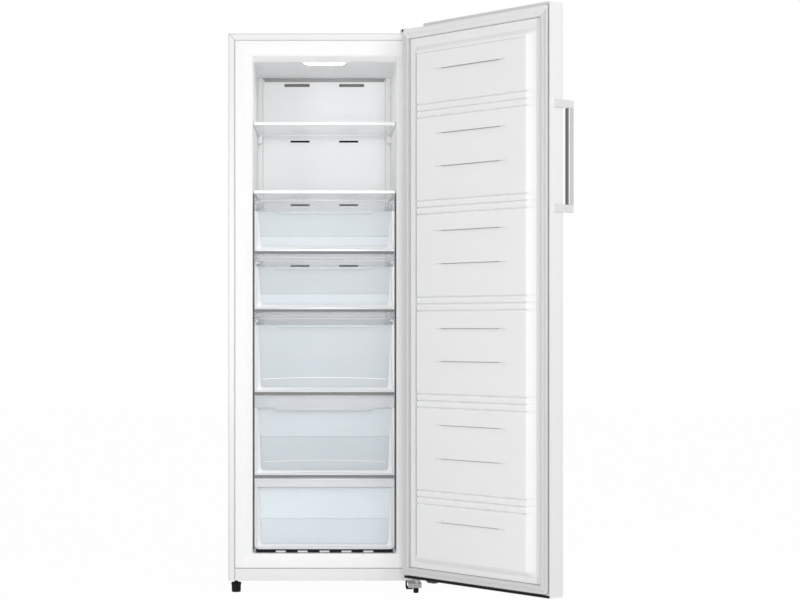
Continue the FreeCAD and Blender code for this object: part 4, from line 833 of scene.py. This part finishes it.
class FREEZER_OT_drawers(PieceOperator, bpy.types.Operator):
    """Clear drawers: grip band, frosted panel, bright rims and basket"""
    bl_idname = "freezer.drawers"
    bl_label = "Drawers"

    def build(self, scene, use):
        sizes = scene.freezer_drawers
        for number in range(1, 6):
            self.add_front(number, sizes, use)
            self.add_basket(number, sizes, use)

    @staticmethod
    def add_front(number, sizes, use):
        node, body = f"drawer_{number}_front", f"drawer_{number}"
        half = span(node, "X")[1]
        front, rear = span(node, "Y")
        low, high = span(node, "Z")
        last = number == 5
        if last:
            low += 10.7
        if number == 1:
            high -= sizes.first_drop
        band = 27.0 if last else sizes.band
        below = high - band
        corner = 14.0 if last else 4.0
        narrow = half - 0.6

        # side and bottom rims: a flat, a thin groove, and a slope down to the panel; the rims' light grey is
        # a painted reflection and the slope a painted highlight
        rings = []

        def rim(outer, inner, flat=7.0):
            (ox, oz), (ix, iz) = outer, inner
            away = math.hypot(ix - ox, iz - oz)
            wx, wz = (ix - ox) / away, (iz - oz) / away
            rings.append([
                (ox, front + 1.0, oz), (ox + wx * flat, front + 0.6, oz + wz * flat),
                (ox + wx * (flat + 0.8), front + 1.4, oz + wz * (flat + 0.8)),
                (ox + wx * (flat + 1.8), front + 1.0, oz + wz * (flat + 1.8)),
                (ix, rear - 7.0, iz), (ix, rear, iz), (ox, rear, oz),
            ])

        inner_top, inner_low = half - sizes.rim_top, half - sizes.rim_bottom
        foot = low + sizes.foot_rim
        reach = 5.0

        def corner_rims(side):
            for i in range(7):
                turn = math.radians(225 + 45 * side + 90 * i / 6)
                across, up = math.cos(turn), math.sin(turn)
                rim(
                    (side * (narrow - corner) + corner * across, low + corner + corner * up),
                    (side * (inner_low - reach) + reach * across, foot + reach + reach * up),
                )

        rim((-narrow, below), (-inner_top, below))
        rim((-narrow, foot + 12), (-inner_low - 1.0, foot + 12))
        corner_rims(-1)
        for i in range(1, 12):
            share = 1 - 2 * (i / 12)
            rim(((corner - narrow) * share, low), ((reach - inner_low) * share, foot))
        corner_rims(1)
        rim((narrow, foot + 12), (inner_low + 1.0, foot + 12))
        rim((narrow, below), (inner_top, below))
        rims = Form().loft(rings, finish_index=[2, 2, 2, 0, 2, 2, 2])
        if last:
            for i in range(-2, 3):
                foot_x = (i * 68 - 15.5, i * 68 + 15.5)
                rims.block(foot_x, (front + 2.5, rear), (low - 10.3, low - 4.5), 0.8, finish_index=2)
                # the feet's upper parts take dark slate: painted shade in the recess behind them
                rims.block(foot_x, (front + 4.0, rear), (low - 4.6, low + 2), 0.4, finish_index=3)
            # a near-black strip under the fifth drawer: painted shadow
            under = (front + 3.0, rear - 1), (low - 9.8, low + 1)
            rims.block((-half + 5, half - 5), *under, 0.8, finish_index=4)
        else:
            # a dark strip under each of the upper four fronts: painted shade
            under = (front + 8, front + 14), (low - 8.0, low + 1.5)
            rims.block((-half + 1, half - 1), *under, 0.8, finish_index=5)
        make(
            f"drawer_{number}_rims", rims, body, node,
            [use[label] for label in ("painted_highlight", "band_edge_shade", "edge", "slate_and_shade", "painted_shadow", "crease")],
            sharp=20,
        )

        # the large panel, creased below its middle, with its lower part leaning the other way
        crease = (1107.0, 928.0, 743.0, 483.5, 229.0)[number - 1]
        # each drawer's upper and lower panel zones take lit and shaded copies of the frosted plastic: painted
        # light and shade
        upper = ("frosted", "frosted_shaded_second", "frosted", "frosted_lit_fourth", "frosted_lit_fifth")[number - 1]
        lower = ("frosted_lit_lower", "frosted_lit_lower", "frosted", "frosted_shaded_deep", "frosted_lit_foot")[number - 1]
        deep = rear - 4.0
        panel = Form()

        def row(y, z):
            share = (z - foot) / (below - foot)
            wide = inner_low + 1.5 + (inner_top - inner_low) * share
            return [(-wide, y, z), (wide, y, z), (wide, y + 2.6, z), (-wide, y + 2.6, z)]

        panel.loft([row(deep, below - 0.5), row(deep, crease + 0.8)])
        fold = [row(deep, crease + 0.8), row(deep - 0.8, crease), row(deep, crease - 0.8)]
        panel.loft(fold, finish_index=1)
        panel.loft([fold[2], row(deep + 1.0, foot - 5.0)], finish_index=2)
        # the third drawer's panel crease takes a painted highlight
        make(
            f"drawer_{number}_panel", panel, body, node,
            [use[upper], use["painted_highlight"] if number == 3 else use[lower], use[lower]],
            sharp=20,
        )
        # a thin bowed line near the bottom of the third and fourth panels: painted highlight
        if number in (3, 4):
            bow = []
            for i in range(13):
                share = i / 6 - 1
                bow.append((share * (inner_low - 4), low + 46.0 - 5.0 * share * share))
            line = bow + [(x, z - 1.4) for x, z in reversed(bow)]
            make(
                f"drawer_{number}_line", Form().slab(line, (deep - 0.5, deep + 0.4)), body, node,
                [use["painted_highlight"]],
            )

        # grip band: lip, top and ends, open below for the fingers
        middle = 0.0 if last else sizes.band_middle - sizes.band
        drop = [(-half + 0.4, below), (half - 0.4, below)]
        if not last:
            drop[1:1] = [(-156.0, below), (-148.0, below - middle), (148.0, below - middle), (156.0, below)]
        clear = Form()
        clear.slab(drop + [(half - 0.4, high - 1.0), (-half + 0.4, high - 1.0)], (front + 0.4, front + 2.6))
        clear.block((-half, half), (front + 0.3, rear), (high - 8.0, high), 1.0)
        for side in (-1, 1):
            end = mirrored(side, half, half - 3.0)
            clear.block(end, (front + 0.5, rear), (below - 1, high - 0.5), 0.8)
        # a darker line along the lip's lower edge: painted shade
        edge = [(x * 0.985, z + 0.8) for x, z in drop] + [(x * 0.985, z - 0.8) for x, z in reversed(drop)]
        clear.slab(edge, (front + 0.1, front + 2.8), finish_index=1)
        # a thin line along the band's inner ledge: painted highlight
        ledge = (front + 2.6, rear - 1), (high - 9.6, high - 8.2)
        clear.block((-half + 4, half - 4), *ledge, 0.4, finish_index=2)
        # short dark dashes at the band's ends, where the duct's pillars show through: painted shade
        for side in (-1, 1):
            for shade_dash, tall in (((194.0, 196.2), 17), ((196.0, 205.0), 1.6)):
                x = mirrored(side, *shade_dash)
                clear.block(x, (front + 3, front + 5), (below, below + tall), 0.3, finish_index=3)
        # the fourth and fifth grip bands take whiter copies of the clear plastic: painted light
        band_label = ("clear", "clear", "clear", "lit_band_fourth", "lit_band_fifth")[number - 1]
        make(
            f"drawer_{number}_band", clear, body, node,
            [use[label] for label in (band_label, "band_edge_shade", "painted_highlight", "seam")],
        )

    @staticmethod
    def add_basket(number, sizes, use):
        node, body = f"drawer_{number}_basket", f"drawer_{number}"
        low, high = span(node, "Z")
        front, back = span(node, "Y")
        reach = span(node, "X")[1]
        half, wall = 203.0, sizes.wall
        narrow, waist = (164.0, 150.0) if number == 5 else (half, back - 30.0)

        def plan(inset, z, corner, lip=False):
            side, slim = (reach - 0.4, reach - 0.4) if lip else (half - inset, narrow - inset)
            y0, turn, y1 = front + 0.2 + inset * 0.2, waist - inset, back - inset
            if lip and number == 5:
                slim, turn = narrow, waist
            if number != 5:
                corners = [(-side, y0), (side, y0), (side, y1), (-side, y1)]
            else:
                corners = [
                    (-side, y0), (side, y0), (side, turn), (slim, turn), (slim, y1), (-slim, y1),
                    (-slim, turn), (-side, turn),
                ]
            return lying(rounded_outline(corners, corner), z)

        rings = []
        radius = 16.0
        for i in range(6):
            angle = math.pi / 2 * i / 5
            rings.append(plan(6 + radius * (1 - math.sin(angle)), low + radius * (1 - math.cos(angle)), 12.0))
        for inset, down, corner, lip in (
            (1.0, 5.0, 12.0, False), (0.5, 3.0, 12.0, False), (0.0, 2.4, 4.0, True), (0.0, 0.4, 4.0, True),
            (0.6, 0.0, 4.0, True), (wall + 0.4, 0.0, 11.0, False), (wall + 1.2, 5.0, 11.0, False),
        ):
            rings.append(plan(inset, high - down, corner, lip))
        for i in range(6):
            angle = math.pi / 2 * (1 - i / 5)
            inset = 6 + wall + (radius - wall) * (1 - math.sin(angle))
            rings.append(plan(inset, low + wall + (radius - wall) * (1 - math.cos(angle)), 11.0))
        tub = Form().loft(rings)
        # a strip along the basket's front top edge: painted highlight
        bright = (front + 0.2, front + 1.6), (high - 1.5, high - 0.1)
        tub.block((-half + 4, half - 4), *bright, 0.3, finish_index=1)
        make(
            f"drawer_{number}_tub", tub, body, node, [use["basket"], use["painted_highlight"]]
        )


class FREEZER_OT_door(PieceOperator, bpy.types.Operator):
    """Painted door skin, end caps and the foam behind them"""
    bl_idname = "freezer.door"
    bl_label = "Door shell"

    def build(self, scene, use):
        # faces that look into the door take a second finish: for the skin and the top cap a darker grey,
        # painted shade of the gasket over the fold; for the bottom cap its black
        towards = (DOOR.to_3x3() @ Vector((0, 1, 0))).normalized()
        for node, width, inner in (
            ("door_skin", 0.35, "fold"), ("door_top_cap", 0.8, "fold"), ("door_bottom_cap", 0.5, "black")
        ):
            piece = softened(node, "door", use["enamel"], width)
            piece.data.materials.append(use[inner])
            for polygon in piece.data.polygons:
                polygon.material_index = int(polygon.normal.dot(towards) > 0.7)
        softened("door_stop", "door", use["slate_and_shade"], 1.2)
        paint(use, door_foam="foam", door_bushes="grey")


class FREEZER_OT_door_liner(PieceOperator, bpy.types.Operator):
    """Moulded inner panel of the door: raised field, triple grooves and shallow scoops"""
    bl_idname = "freezer.door_liner"
    bl_label = "Door liner"

    def build(self, scene, use):
        sizes = scene.freezer_door
        plane, rise = 40.0, 16.0
        x_free, x_hinge = -567.5, 0.5
        z_low, z_high = 65.0, 1726.0
        field_x, field_z = (-505.0, -57.0), (130.0, 1656.0)
        centres = [893.4 + (i - 2) * 291.4 for i in range(5)]
        scoops = [1597.0, 1403.5, 1304.5, 1111.6, 1012.6, 818.5, 720.7, 529.6, 429.4, 239.0]
        middle, half, tall = (field_x[0] + field_x[1]) / 2, 160.0, 44.0
        slopes = {"free": sizes.free_slope, "hinge": 24.0, "end": 24.0}
        grooves = [centre + step for centre in centres for step in (-20.3, 0.0, 20.3)]

        def smooth(share):
            share = min(1.0, max(0.0, share))
            return share * share * (3 - 2 * share)

        def height(x, z):
            across = min(
                min(1.0, max(0.0, (x - (field_x[0] - slopes["free"])) / slopes["free"])),
                smooth(((field_x[1] + slopes["hinge"]) - x) / slopes["hinge"]),
            )
            up = min(
                smooth((z - (field_z[0] - slopes["end"])) / slopes["end"]),
                smooth(((field_z[1] + slopes["end"]) - z) / slopes["end"]),
            )
            field = across * up
            level = rise * field
            for groove in grooves:
                away = abs(z - groove) / sizes.groove_half
                if away < 1:
                    level -= sizes.groove_deep * (0.5 + 0.5 * math.cos(math.pi * away)) * field
            if abs(x - middle) < half:
                for top in scoops:
                    down = top - z
                    if -0.5 <= down <= tall:
                        taper = smooth((half - abs(x - middle)) / 46.0)
                        edge = min(1.0, (down + 0.5) / 0.5)
                        fade = (1 - max(down, 0) / tall) ** 1.3
                        level -= sizes.scoop_deep * edge * fade * taper
            return plane + level

        def stations(low, high, coarse, fine):
            """Sorted places along one direction, close together inside the fine spans."""
            places = {low, high}
            place = low
            while place < high:
                places.add(round(place, 3))
                place += coarse
            for start, end, step in fine:
                count = max(1, round((end - start) / step))
                places |= {round(start + (end - start) * i / count, 3) for i in range(count + 1)}
            kept = []
            for place in sorted(p for p in places if low <= p <= high):
                if not kept or place - kept[-1] > 0.35:
                    kept.append(place)
            kept[-1] = high
            return kept

        xs = stations(x_free, x_hinge, 14.0, [
            (SEAL_X[0] + 26.0, SEAL_X[0] + 28.0, 2.0), (SEAL_X[1] - 28.0, SEAL_X[1] - 26.0, 2.0),
            (field_x[1], field_x[1] + 2.0, 2.0), (middle - half + 16, middle - half + 40, 24.0),
            (middle + half - 40, middle + half - 16, 24.0), (middle - 56, middle + 56, 14.0),
            (field_x[0] - slopes["free"], field_x[0], 2.0), (field_x[1], field_x[1] + slopes["hinge"], 2.0),
            (middle - half, middle - half + 46, 5.0), (middle + half - 46, middle + half, 5.0),
        ])
        fine_z = [
            (field_z[0] - slopes["end"], field_z[0], 2.0), (field_z[1], field_z[1] + slopes["end"], 2.0),
            (z_low, 68.0, 3.0), (SEAL_LOW + 26.0, SEAL_LOW + 28.0, 2.0), (1702.2, 1704.1, 1.9),
            (field_z[1] - 5.5, field_z[1] - 3.5, 2.0),
        ]
        for groove in grooves:
            fine_z += [(groove - 8, groove + 8, 1.0), (groove, groove + 2, 0.5)]
        for top in scoops:
            fine_z += [(top, top + 2.0, 0.5), (top - tall, top, 4.0), (top - 38, top - 36, 1.0)]
        zs = stations(z_low, z_high, 16.0, fine_z)

        seal_x, seal_z = (SEAL_X[0] + 26.0, SEAL_X[1] - 26.0), (SEAL_LOW + 26.0, SEAL_TOP - 26.7)

        def tone(x, z):
            """Which finish a patch takes: 0 plain, 1 painted shade line, 2 softer painted shade line, 3
            painted highlight, 4 black or 5 painted shade.
            """
            inside = seal_x[0] < x < seal_x[1] and seal_z[0] < z < seal_z[1]
            if inside and (x > seal_x[1] - 1.9 or z < seal_z[0] + 1.9 or z > seal_z[1] - 1.9):
                return 1
            if z < 68.0:
                return 4
            if x < field_x[0] - slopes["free"] + 4:
                return 5
            if x < field_x[0] and field_z[0] < z < field_z[1] + 10:
                return 3
            on_field = field_z[0] < z < field_z[1] and field_x[0] - 3 < x < field_x[1]
            if field_z[0] < z < field_z[1] - 4 and field_x[1] < x < field_x[1] + 2.0:
                return 1
            if field_x[0] < x < field_x[1] and field_z[1] - 5.5 < z < field_z[1] - 3.5:
                return 2
            if field_x[0] < x < field_x[1] and field_z[1] < z < field_z[1] + 26:
                return 3
            if not on_field:
                return 0
            for groove in grooves:
                if 0 < z - groove < 1.9:
                    return 2
                if -8 < z - groove < -3:
                    return 3
            for top in scoops:
                if 0 < z - top < 2.1 and abs(x - middle) < half - 16:
                    return 1 if abs(x - middle) < half - 40 else 2
                if 0 < top - 36 - z < 2.0 and abs(x - middle) < 56:
                    return 3
            return 0

        form = Form()
        wide = len(xs)
        for z in zs:
            form.points += [(x, height(x, z), z) for x in xs]
        for row in range(len(zs) - 1):
            for i in range(wide - 1):
                a = row * wide + i
                patch = ((xs[i] + xs[i + 1]) / 2, (zs[row] + zs[row + 1]) / 2)
                form.face((a, a + 1, a + wide + 1, a + wide), tone(*patch))
        edge = list(range(wide))
        edge += [row * wide + wide - 1 for row in range(1, len(zs))]
        edge += [(len(zs) - 1) * wide + i for i in range(wide - 2, -1, -1)]
        edge += [row * wide for row in range(len(zs) - 2, 0, -1)]
        start = len(form.points)
        form.points += [(form.points[i][0], 38.0, form.points[i][2]) for i in edge]
        for i in range(len(edge)):
            j = (i + 1) % len(edge)
            form.face((edge[j], edge[i], start + i, start + j), 0)
        form.face([start + i for i in range(len(edge))], 0)
        make(
            "door_panel", form, "door", "door_liner",
            [use[label] for label in ("moulding", "crease", "soft_crease_shade", "lit", "black", "dim_shade")],
            DOOR, sharp=50,
        )


class FREEZER_OT_gasket(PieceOperator, bpy.types.Operator):
    """Magnetic seal with its bellows"""
    bl_idname = "freezer.gasket"
    bl_label = "Door gasket"

    def build(self, scene, use):
        section = [
            (9.2, 40.2), (8.6, 41.4), (4.6, 42.4), (3.3, 43.4), (3.2, 45.0), (3.3, 49.6), (4.2, 50.3),
            (12.6, 50.4), (13.6, 49.4), (14.2, 50.6), (15.2, 51.5), (24.4, 51.6), (25.6, 51.0), (25.9, 49.8),
            (25.8, 46.8), (24.4, 45.2), (25.6, 43.8), (24.8, 42.4), (22.4, 41.6), (21.6, 40.2),
        ]
        rings = []
        for inset, y in section:
            top = SEAL_TOP - (inset - 5.0) * 1.27
            outline = rounded_rectangle(
                (SEAL_X[0] + inset, SEAL_X[1] - inset), (SEAL_LOW + inset, top),
                max(1.5, 9.0 - inset * 0.3), 4,
            )
            rings.append(standing(outline, y))
        form = Form().loft(rings, closed=True)
        # a dark line along the seal's inner edge on the free side: painted shade
        form.block((-579.6, -578.1), (40.1, 41.2), (70.0, 1738.0), 0.2, finish_index=2)
        seal = make(
            "door_seal", form, "door", "door_gasket",
            [use["gasket"], use["lit_gasket_end"], use["crease"]], DOOR, sharp=50,
        )
        # the seal's top corner on the free side takes a lighter copy of the gasket: painted light
        for polygon in seal.data.polygons:
            x, y, z = DOOR.inverted() @ polygon.center
            if polygon.material_index == 0:
                polygon.material_index = int(z > 1695.0 and 1744.0 - z < x + 600.0)


class FREEZER_OT_handle(PieceOperator, bpy.types.Operator):
    """Bar handle with its two end blocks"""
    bl_idname = "freezer.handle"
    bl_label = "Handle"

    def build(self, scene, use):
        softened("handle_bar", "door", use["silver"], 1.0, 3)
        ends = (1172.6, 1447.4)
        # a dark grey strip on the bar's inner face, which looks at the door: painted shade; beside it a
        # painted highlight strip
        channel = Form().block((-583.2, -570.4), (-39.0, -37.8), ends, 0.4)
        channel.block((-586.8, -583.5), (-39.0, -37.7), ends, 0.4, finish_index=1)
        make("handle_shade_and_highlight", channel, "door", "handle_bar", [use["channel"], use["painted_highlight"]], DOOR)
        for node in ("upper_handle_block", "lower_handle_block"):
            softened(node, "door", use["block"], 1.0, 3)


class FREEZER_OT_hinges(PieceOperator, bpy.types.Operator):
    """Hinge brackets, pins and the cover of the upper hinge"""
    bl_idname = "freezer.hinges"
    bl_label = "Hinges"

    def build(self, scene, use):
        softened("upper_hinge_bracket", "cabinet", use["steel"], 0.7, 2)
        softened("lower_hinge_bracket", "cabinet", use["shaded_steel"], 0.7, 2)
        softened("hinge_cover", "cabinet", use["enamel"], 1.2, 3)
        # a dark ring in the cover's eye: painted shade in the hole
        eye = Form().turned([(4.4, 1.3), (5.2, 1.7), (5.2, 3.0)], (243.6, 0, 1742.2), "Y", 24)
        make("hinge_cover_eye", eye, "cabinet", "hinge_cover", [use["painted_shadow"]])
        softened("foot_bracket", "cabinet", use["black"], 0.8)
        paint(use, hinge_pins="steel")


class FREEZER_OT_feet(PieceOperator, bpy.types.Operator):
    """Levelling feet with their studs, and the rear rollers"""
    bl_idname = "freezer.feet"
    bl_label = "Feet and rollers"

    def build(self, scene, use):
        for side in ("left", "right"):
            node = f"{side}_foot"
            x, y, z = (span(node, letter) for letter in "XYZ")
            radius, cx, cy = (x[1] - x[0]) / 2, (x[0] + x[1]) / 2, (y[0] + y[1]) / 2
            tall = 30.0 if side == "left" else 24.0
            profile = [
                (radius - 2.5, 0), (radius - 1.6, 0.8), (radius - 1.3, 4), (radius - 0.9, tall - 9),
                (radius - 0.1, tall - 8), (radius, tall - 7), (radius, tall - 1), (radius - 0.8, tall),
                (7, tall), (7, tall + 1.2), (5, tall + 1.6), (5, z[1] - 0.8), (4.2, z[1]),
            ]
            form = Form().turned(profile, (cx, cy, 0))
            grip = [(1.0, tall - 7), (1.2, tall - 6), (1.2, tall - 2), (1.0, tall - 1)]
            for i in range(16):
                turn, out = 2 * math.pi * i / 16, radius - 1.2
                form.turned(grip, (cx + out * math.cos(turn), cy + out * math.sin(turn), 0), sides=8)
            make(
                f"{side}_levelling_foot", form, f"{side}_foot_body", node, [use["black"]]
            )
        paint(use, left_roller="rubber", right_roller="rubber", roller_axles="steel")


class FREEZER_OT_machine(PieceOperator, bpy.types.Operator):
    """Compressor, its pipes, the tray and the rear cover"""
    bl_idname = "freezer.machine"
    bl_label = "Machine bay"

    def build(self, scene, use):
        paint(
            use, compressor="dark_steel", compressor_plate="dark_steel", compressor_grommets="rubber",
            relay_box="grey", drip_tray="grey", suction_pipe="copper", filter_dryer="copper",
            cord_gland="black",
        )
        softened("control_box", "cabinet", use["grey"], 1.2)
        softened("rear_cover", "cabinet", use["zinc"], 0.5)
        heads = Form()
        places = [(x, z) for x in (-277.0, 277.0) for z in (52.0, 165.0, 278.0)]
        places += [(x, 281.0) for x in (-140.0, 0.0, 140.0)]
        for x, z in places:
            heads.turned([(0.6, 591.3), (3.4, 591.0), (4.2, 590.0), (4.2, 588.6)], (x, 0, z), "Y", 20)
            # the slot in each head: painted shade
            for wide, tall in ((2.4, 0.5), (0.5, 2.4)):
                slot = (x - wide, x + wide), (590.9, 591.5), (z - tall, z + tall)
                heads.block(*slot, 0.1, finish_index=1)
        make("rear_cover_screws", heads, "cabinet", "rear_cover", [use["steel"], use["painted_shadow"]])


class FREEZER_OT_stage(PieceOperator, bpy.types.Operator):
    """Pale floor, soft lamps and the camera"""
    bl_idname = "freezer.stage"
    bl_label = "Stage"

    def build(self, scene, use):
        setting = scene.freezer_stage
        self.add_camera(scene)
        self.add_sky(scene, setting.sky)
        self.add_floor()
        target = Vector((MIDDLE, FRONT, 0.9))
        self.add_lamp("KeyLamp", (0.5, -5.4, 1.1), target, setting.key, 1.6)
        self.add_lamp("FillLamp", (2.6, -2.6, 2.9), target, setting.fill, 1.2)
        self.add_lamp("DoorLamp", (-1.5, -3.4, 1.15), Vector((0.85, -0.3, 1.05)), setting.door, 0.8)
        scene.view_settings.view_transform = "Standard"
        scene.cycles.transparent_max_bounces = 24

    @staticmethod
    def add_camera(scene):
        data = bpy.data.cameras.new("PhotoView")
        data.lens, data.sensor_width = 84.24, 36.0
        data.shift_x, data.shift_y = 0.0975, 0.0369
        data.clip_end = 60.0
        camera = bpy.data.objects.new("PhotoView", data)
        camera.location = (0.26725, -5.837, 0.817)
        camera.rotation_euler = (math.pi / 2, 0, 0)
        scene.collection.objects.link(camera)
        scene.camera = camera

    @staticmethod
    def seen_directly(tree):
        """One for what the camera, a mirror or a pane sees, nought for other light."""
        path = tree.nodes.new("ShaderNodeLightPath")
        total = maths(tree, "ADD", path.outputs["Is Camera Ray"], path.outputs["Is Glossy Ray"])
        total = maths(tree, "ADD", total, path.outputs["Is Transmission Ray"])
        return maths(tree, "MINIMUM", total, 1.0)

    def add_sky(self, scene, strength):
        world = bpy.data.worlds.new("WhiteStudio")
        world.use_nodes = True
        scene.world = world
        tree = world.node_tree
        sky = tree.nodes["Background"]
        sky.inputs["Color"].default_value = (1, 1, 1, 1)
        rise = maths(tree, "MULTIPLY", self.seen_directly(tree), 1.0 - strength)
        tree.links.new(maths(tree, "ADD", rise, strength), sky.inputs["Strength"])

    def add_floor(self):
        size = 14.0
        mesh = bpy.data.meshes.new("Floor")
        corners = [(-size, -size, 0), (size, -size, 0), (size, size, 0), (-size, size, 0)]
        mesh.from_pydata(corners, [], [(0, 1, 2, 3)])
        floor = bpy.data.objects.new("Floor", mesh)
        bpy.context.scene.collection.objects.link(floor)
        material = bpy.data.materials.new("PaleFloor")
        material.use_nodes = True
        tree = material.node_tree
        shader = tree.nodes["Principled BSDF"]
        shader.inputs["Base Color"].default_value = (0.85, 0.85, 0.85, 1)
        shader.inputs["Roughness"].default_value = 0.8
        white = tree.nodes.new("ShaderNodeEmission")
        blend = tree.nodes.new("ShaderNodeMixShader")
        output = tree.nodes["Material Output"]
        tree.links.new(maths(tree, "MULTIPLY", self.seen_directly(tree), 0.98), blend.inputs[0])
        tree.links.new(shader.outputs[0], blend.inputs[1])
        tree.links.new(white.outputs[0], blend.inputs[2])
        tree.links.new(blend.outputs[0], output.inputs["Surface"])
        mesh.materials.append(material)

    @staticmethod
    def add_lamp(name, place, target, power, size):
        data = bpy.data.lights.new(name, "AREA")
        data.energy, data.size = power, size
        lamp = bpy.data.objects.new(name, data)
        lamp.location = place
        lamp.rotation_euler = (target - Vector(place)).to_track_quat("-Z", "Y").to_euler()
        bpy.context.scene.collection.objects.link(lamp)


OPERATORS = (
    FREEZER_OT_cabinet, FREEZER_OT_liner, FREEZER_OT_duct, FREEZER_OT_light, FREEZER_OT_shelves,
    FREEZER_OT_drawers, FREEZER_OT_door, FREEZER_OT_door_liner, FREEZER_OT_gasket, FREEZER_OT_handle,
    FREEZER_OT_hinges, FREEZER_OT_feet, FREEZER_OT_machine, FREEZER_OT_stage,
)
GROUPS = {
    "freezer_colours": FreezerColours, "freezer_liner": LinerSizes, "freezer_drawers": DrawerSizes,
    "freezer_door": DoorSizes, "freezer_stage": StageSettings,
}


class FREEZER_PT_pieces(bpy.types.Panel):
    """Lists the pieces of the freezer in the sidebar"""
    bl_idname = "FREEZER_PT_pieces"
    bl_label = "Upright freezer"
    bl_space_type = "VIEW_3D"
    bl_region_type = "UI"
    bl_category = "Freezer"

    def draw(self, context):
        for operator in OPERATORS:
            self.layout.operator(operator.bl_idname)
        for name, group in GROUPS.items():
            settings = getattr(context.scene, name)
            for label in group.__annotations__:
                self.layout.prop(settings, label)


def register():
    for name, group in GROUPS.items():
        bpy.utils.register_class(group)
        setattr(bpy.types.Scene, name, bpy.props.PointerProperty(type=group))
    for cls in (*OPERATORS, FREEZER_PT_pieces):
        bpy.utils.register_class(cls)


def unregister():
    for cls in reversed((*OPERATORS, FREEZER_PT_pieces)):
        bpy.utils.unregister_class(cls)
    for name, group in GROUPS.items():
        delattr(bpy.types.Scene, name)
        bpy.utils.unregister_class(group)


def main():
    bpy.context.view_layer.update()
    register()
    for operator in OPERATORS:
        family, name = operator.bl_idname.split(".")
        getattr(getattr(bpy.ops, family), name)()


if __name__ == "__main__":
    main()
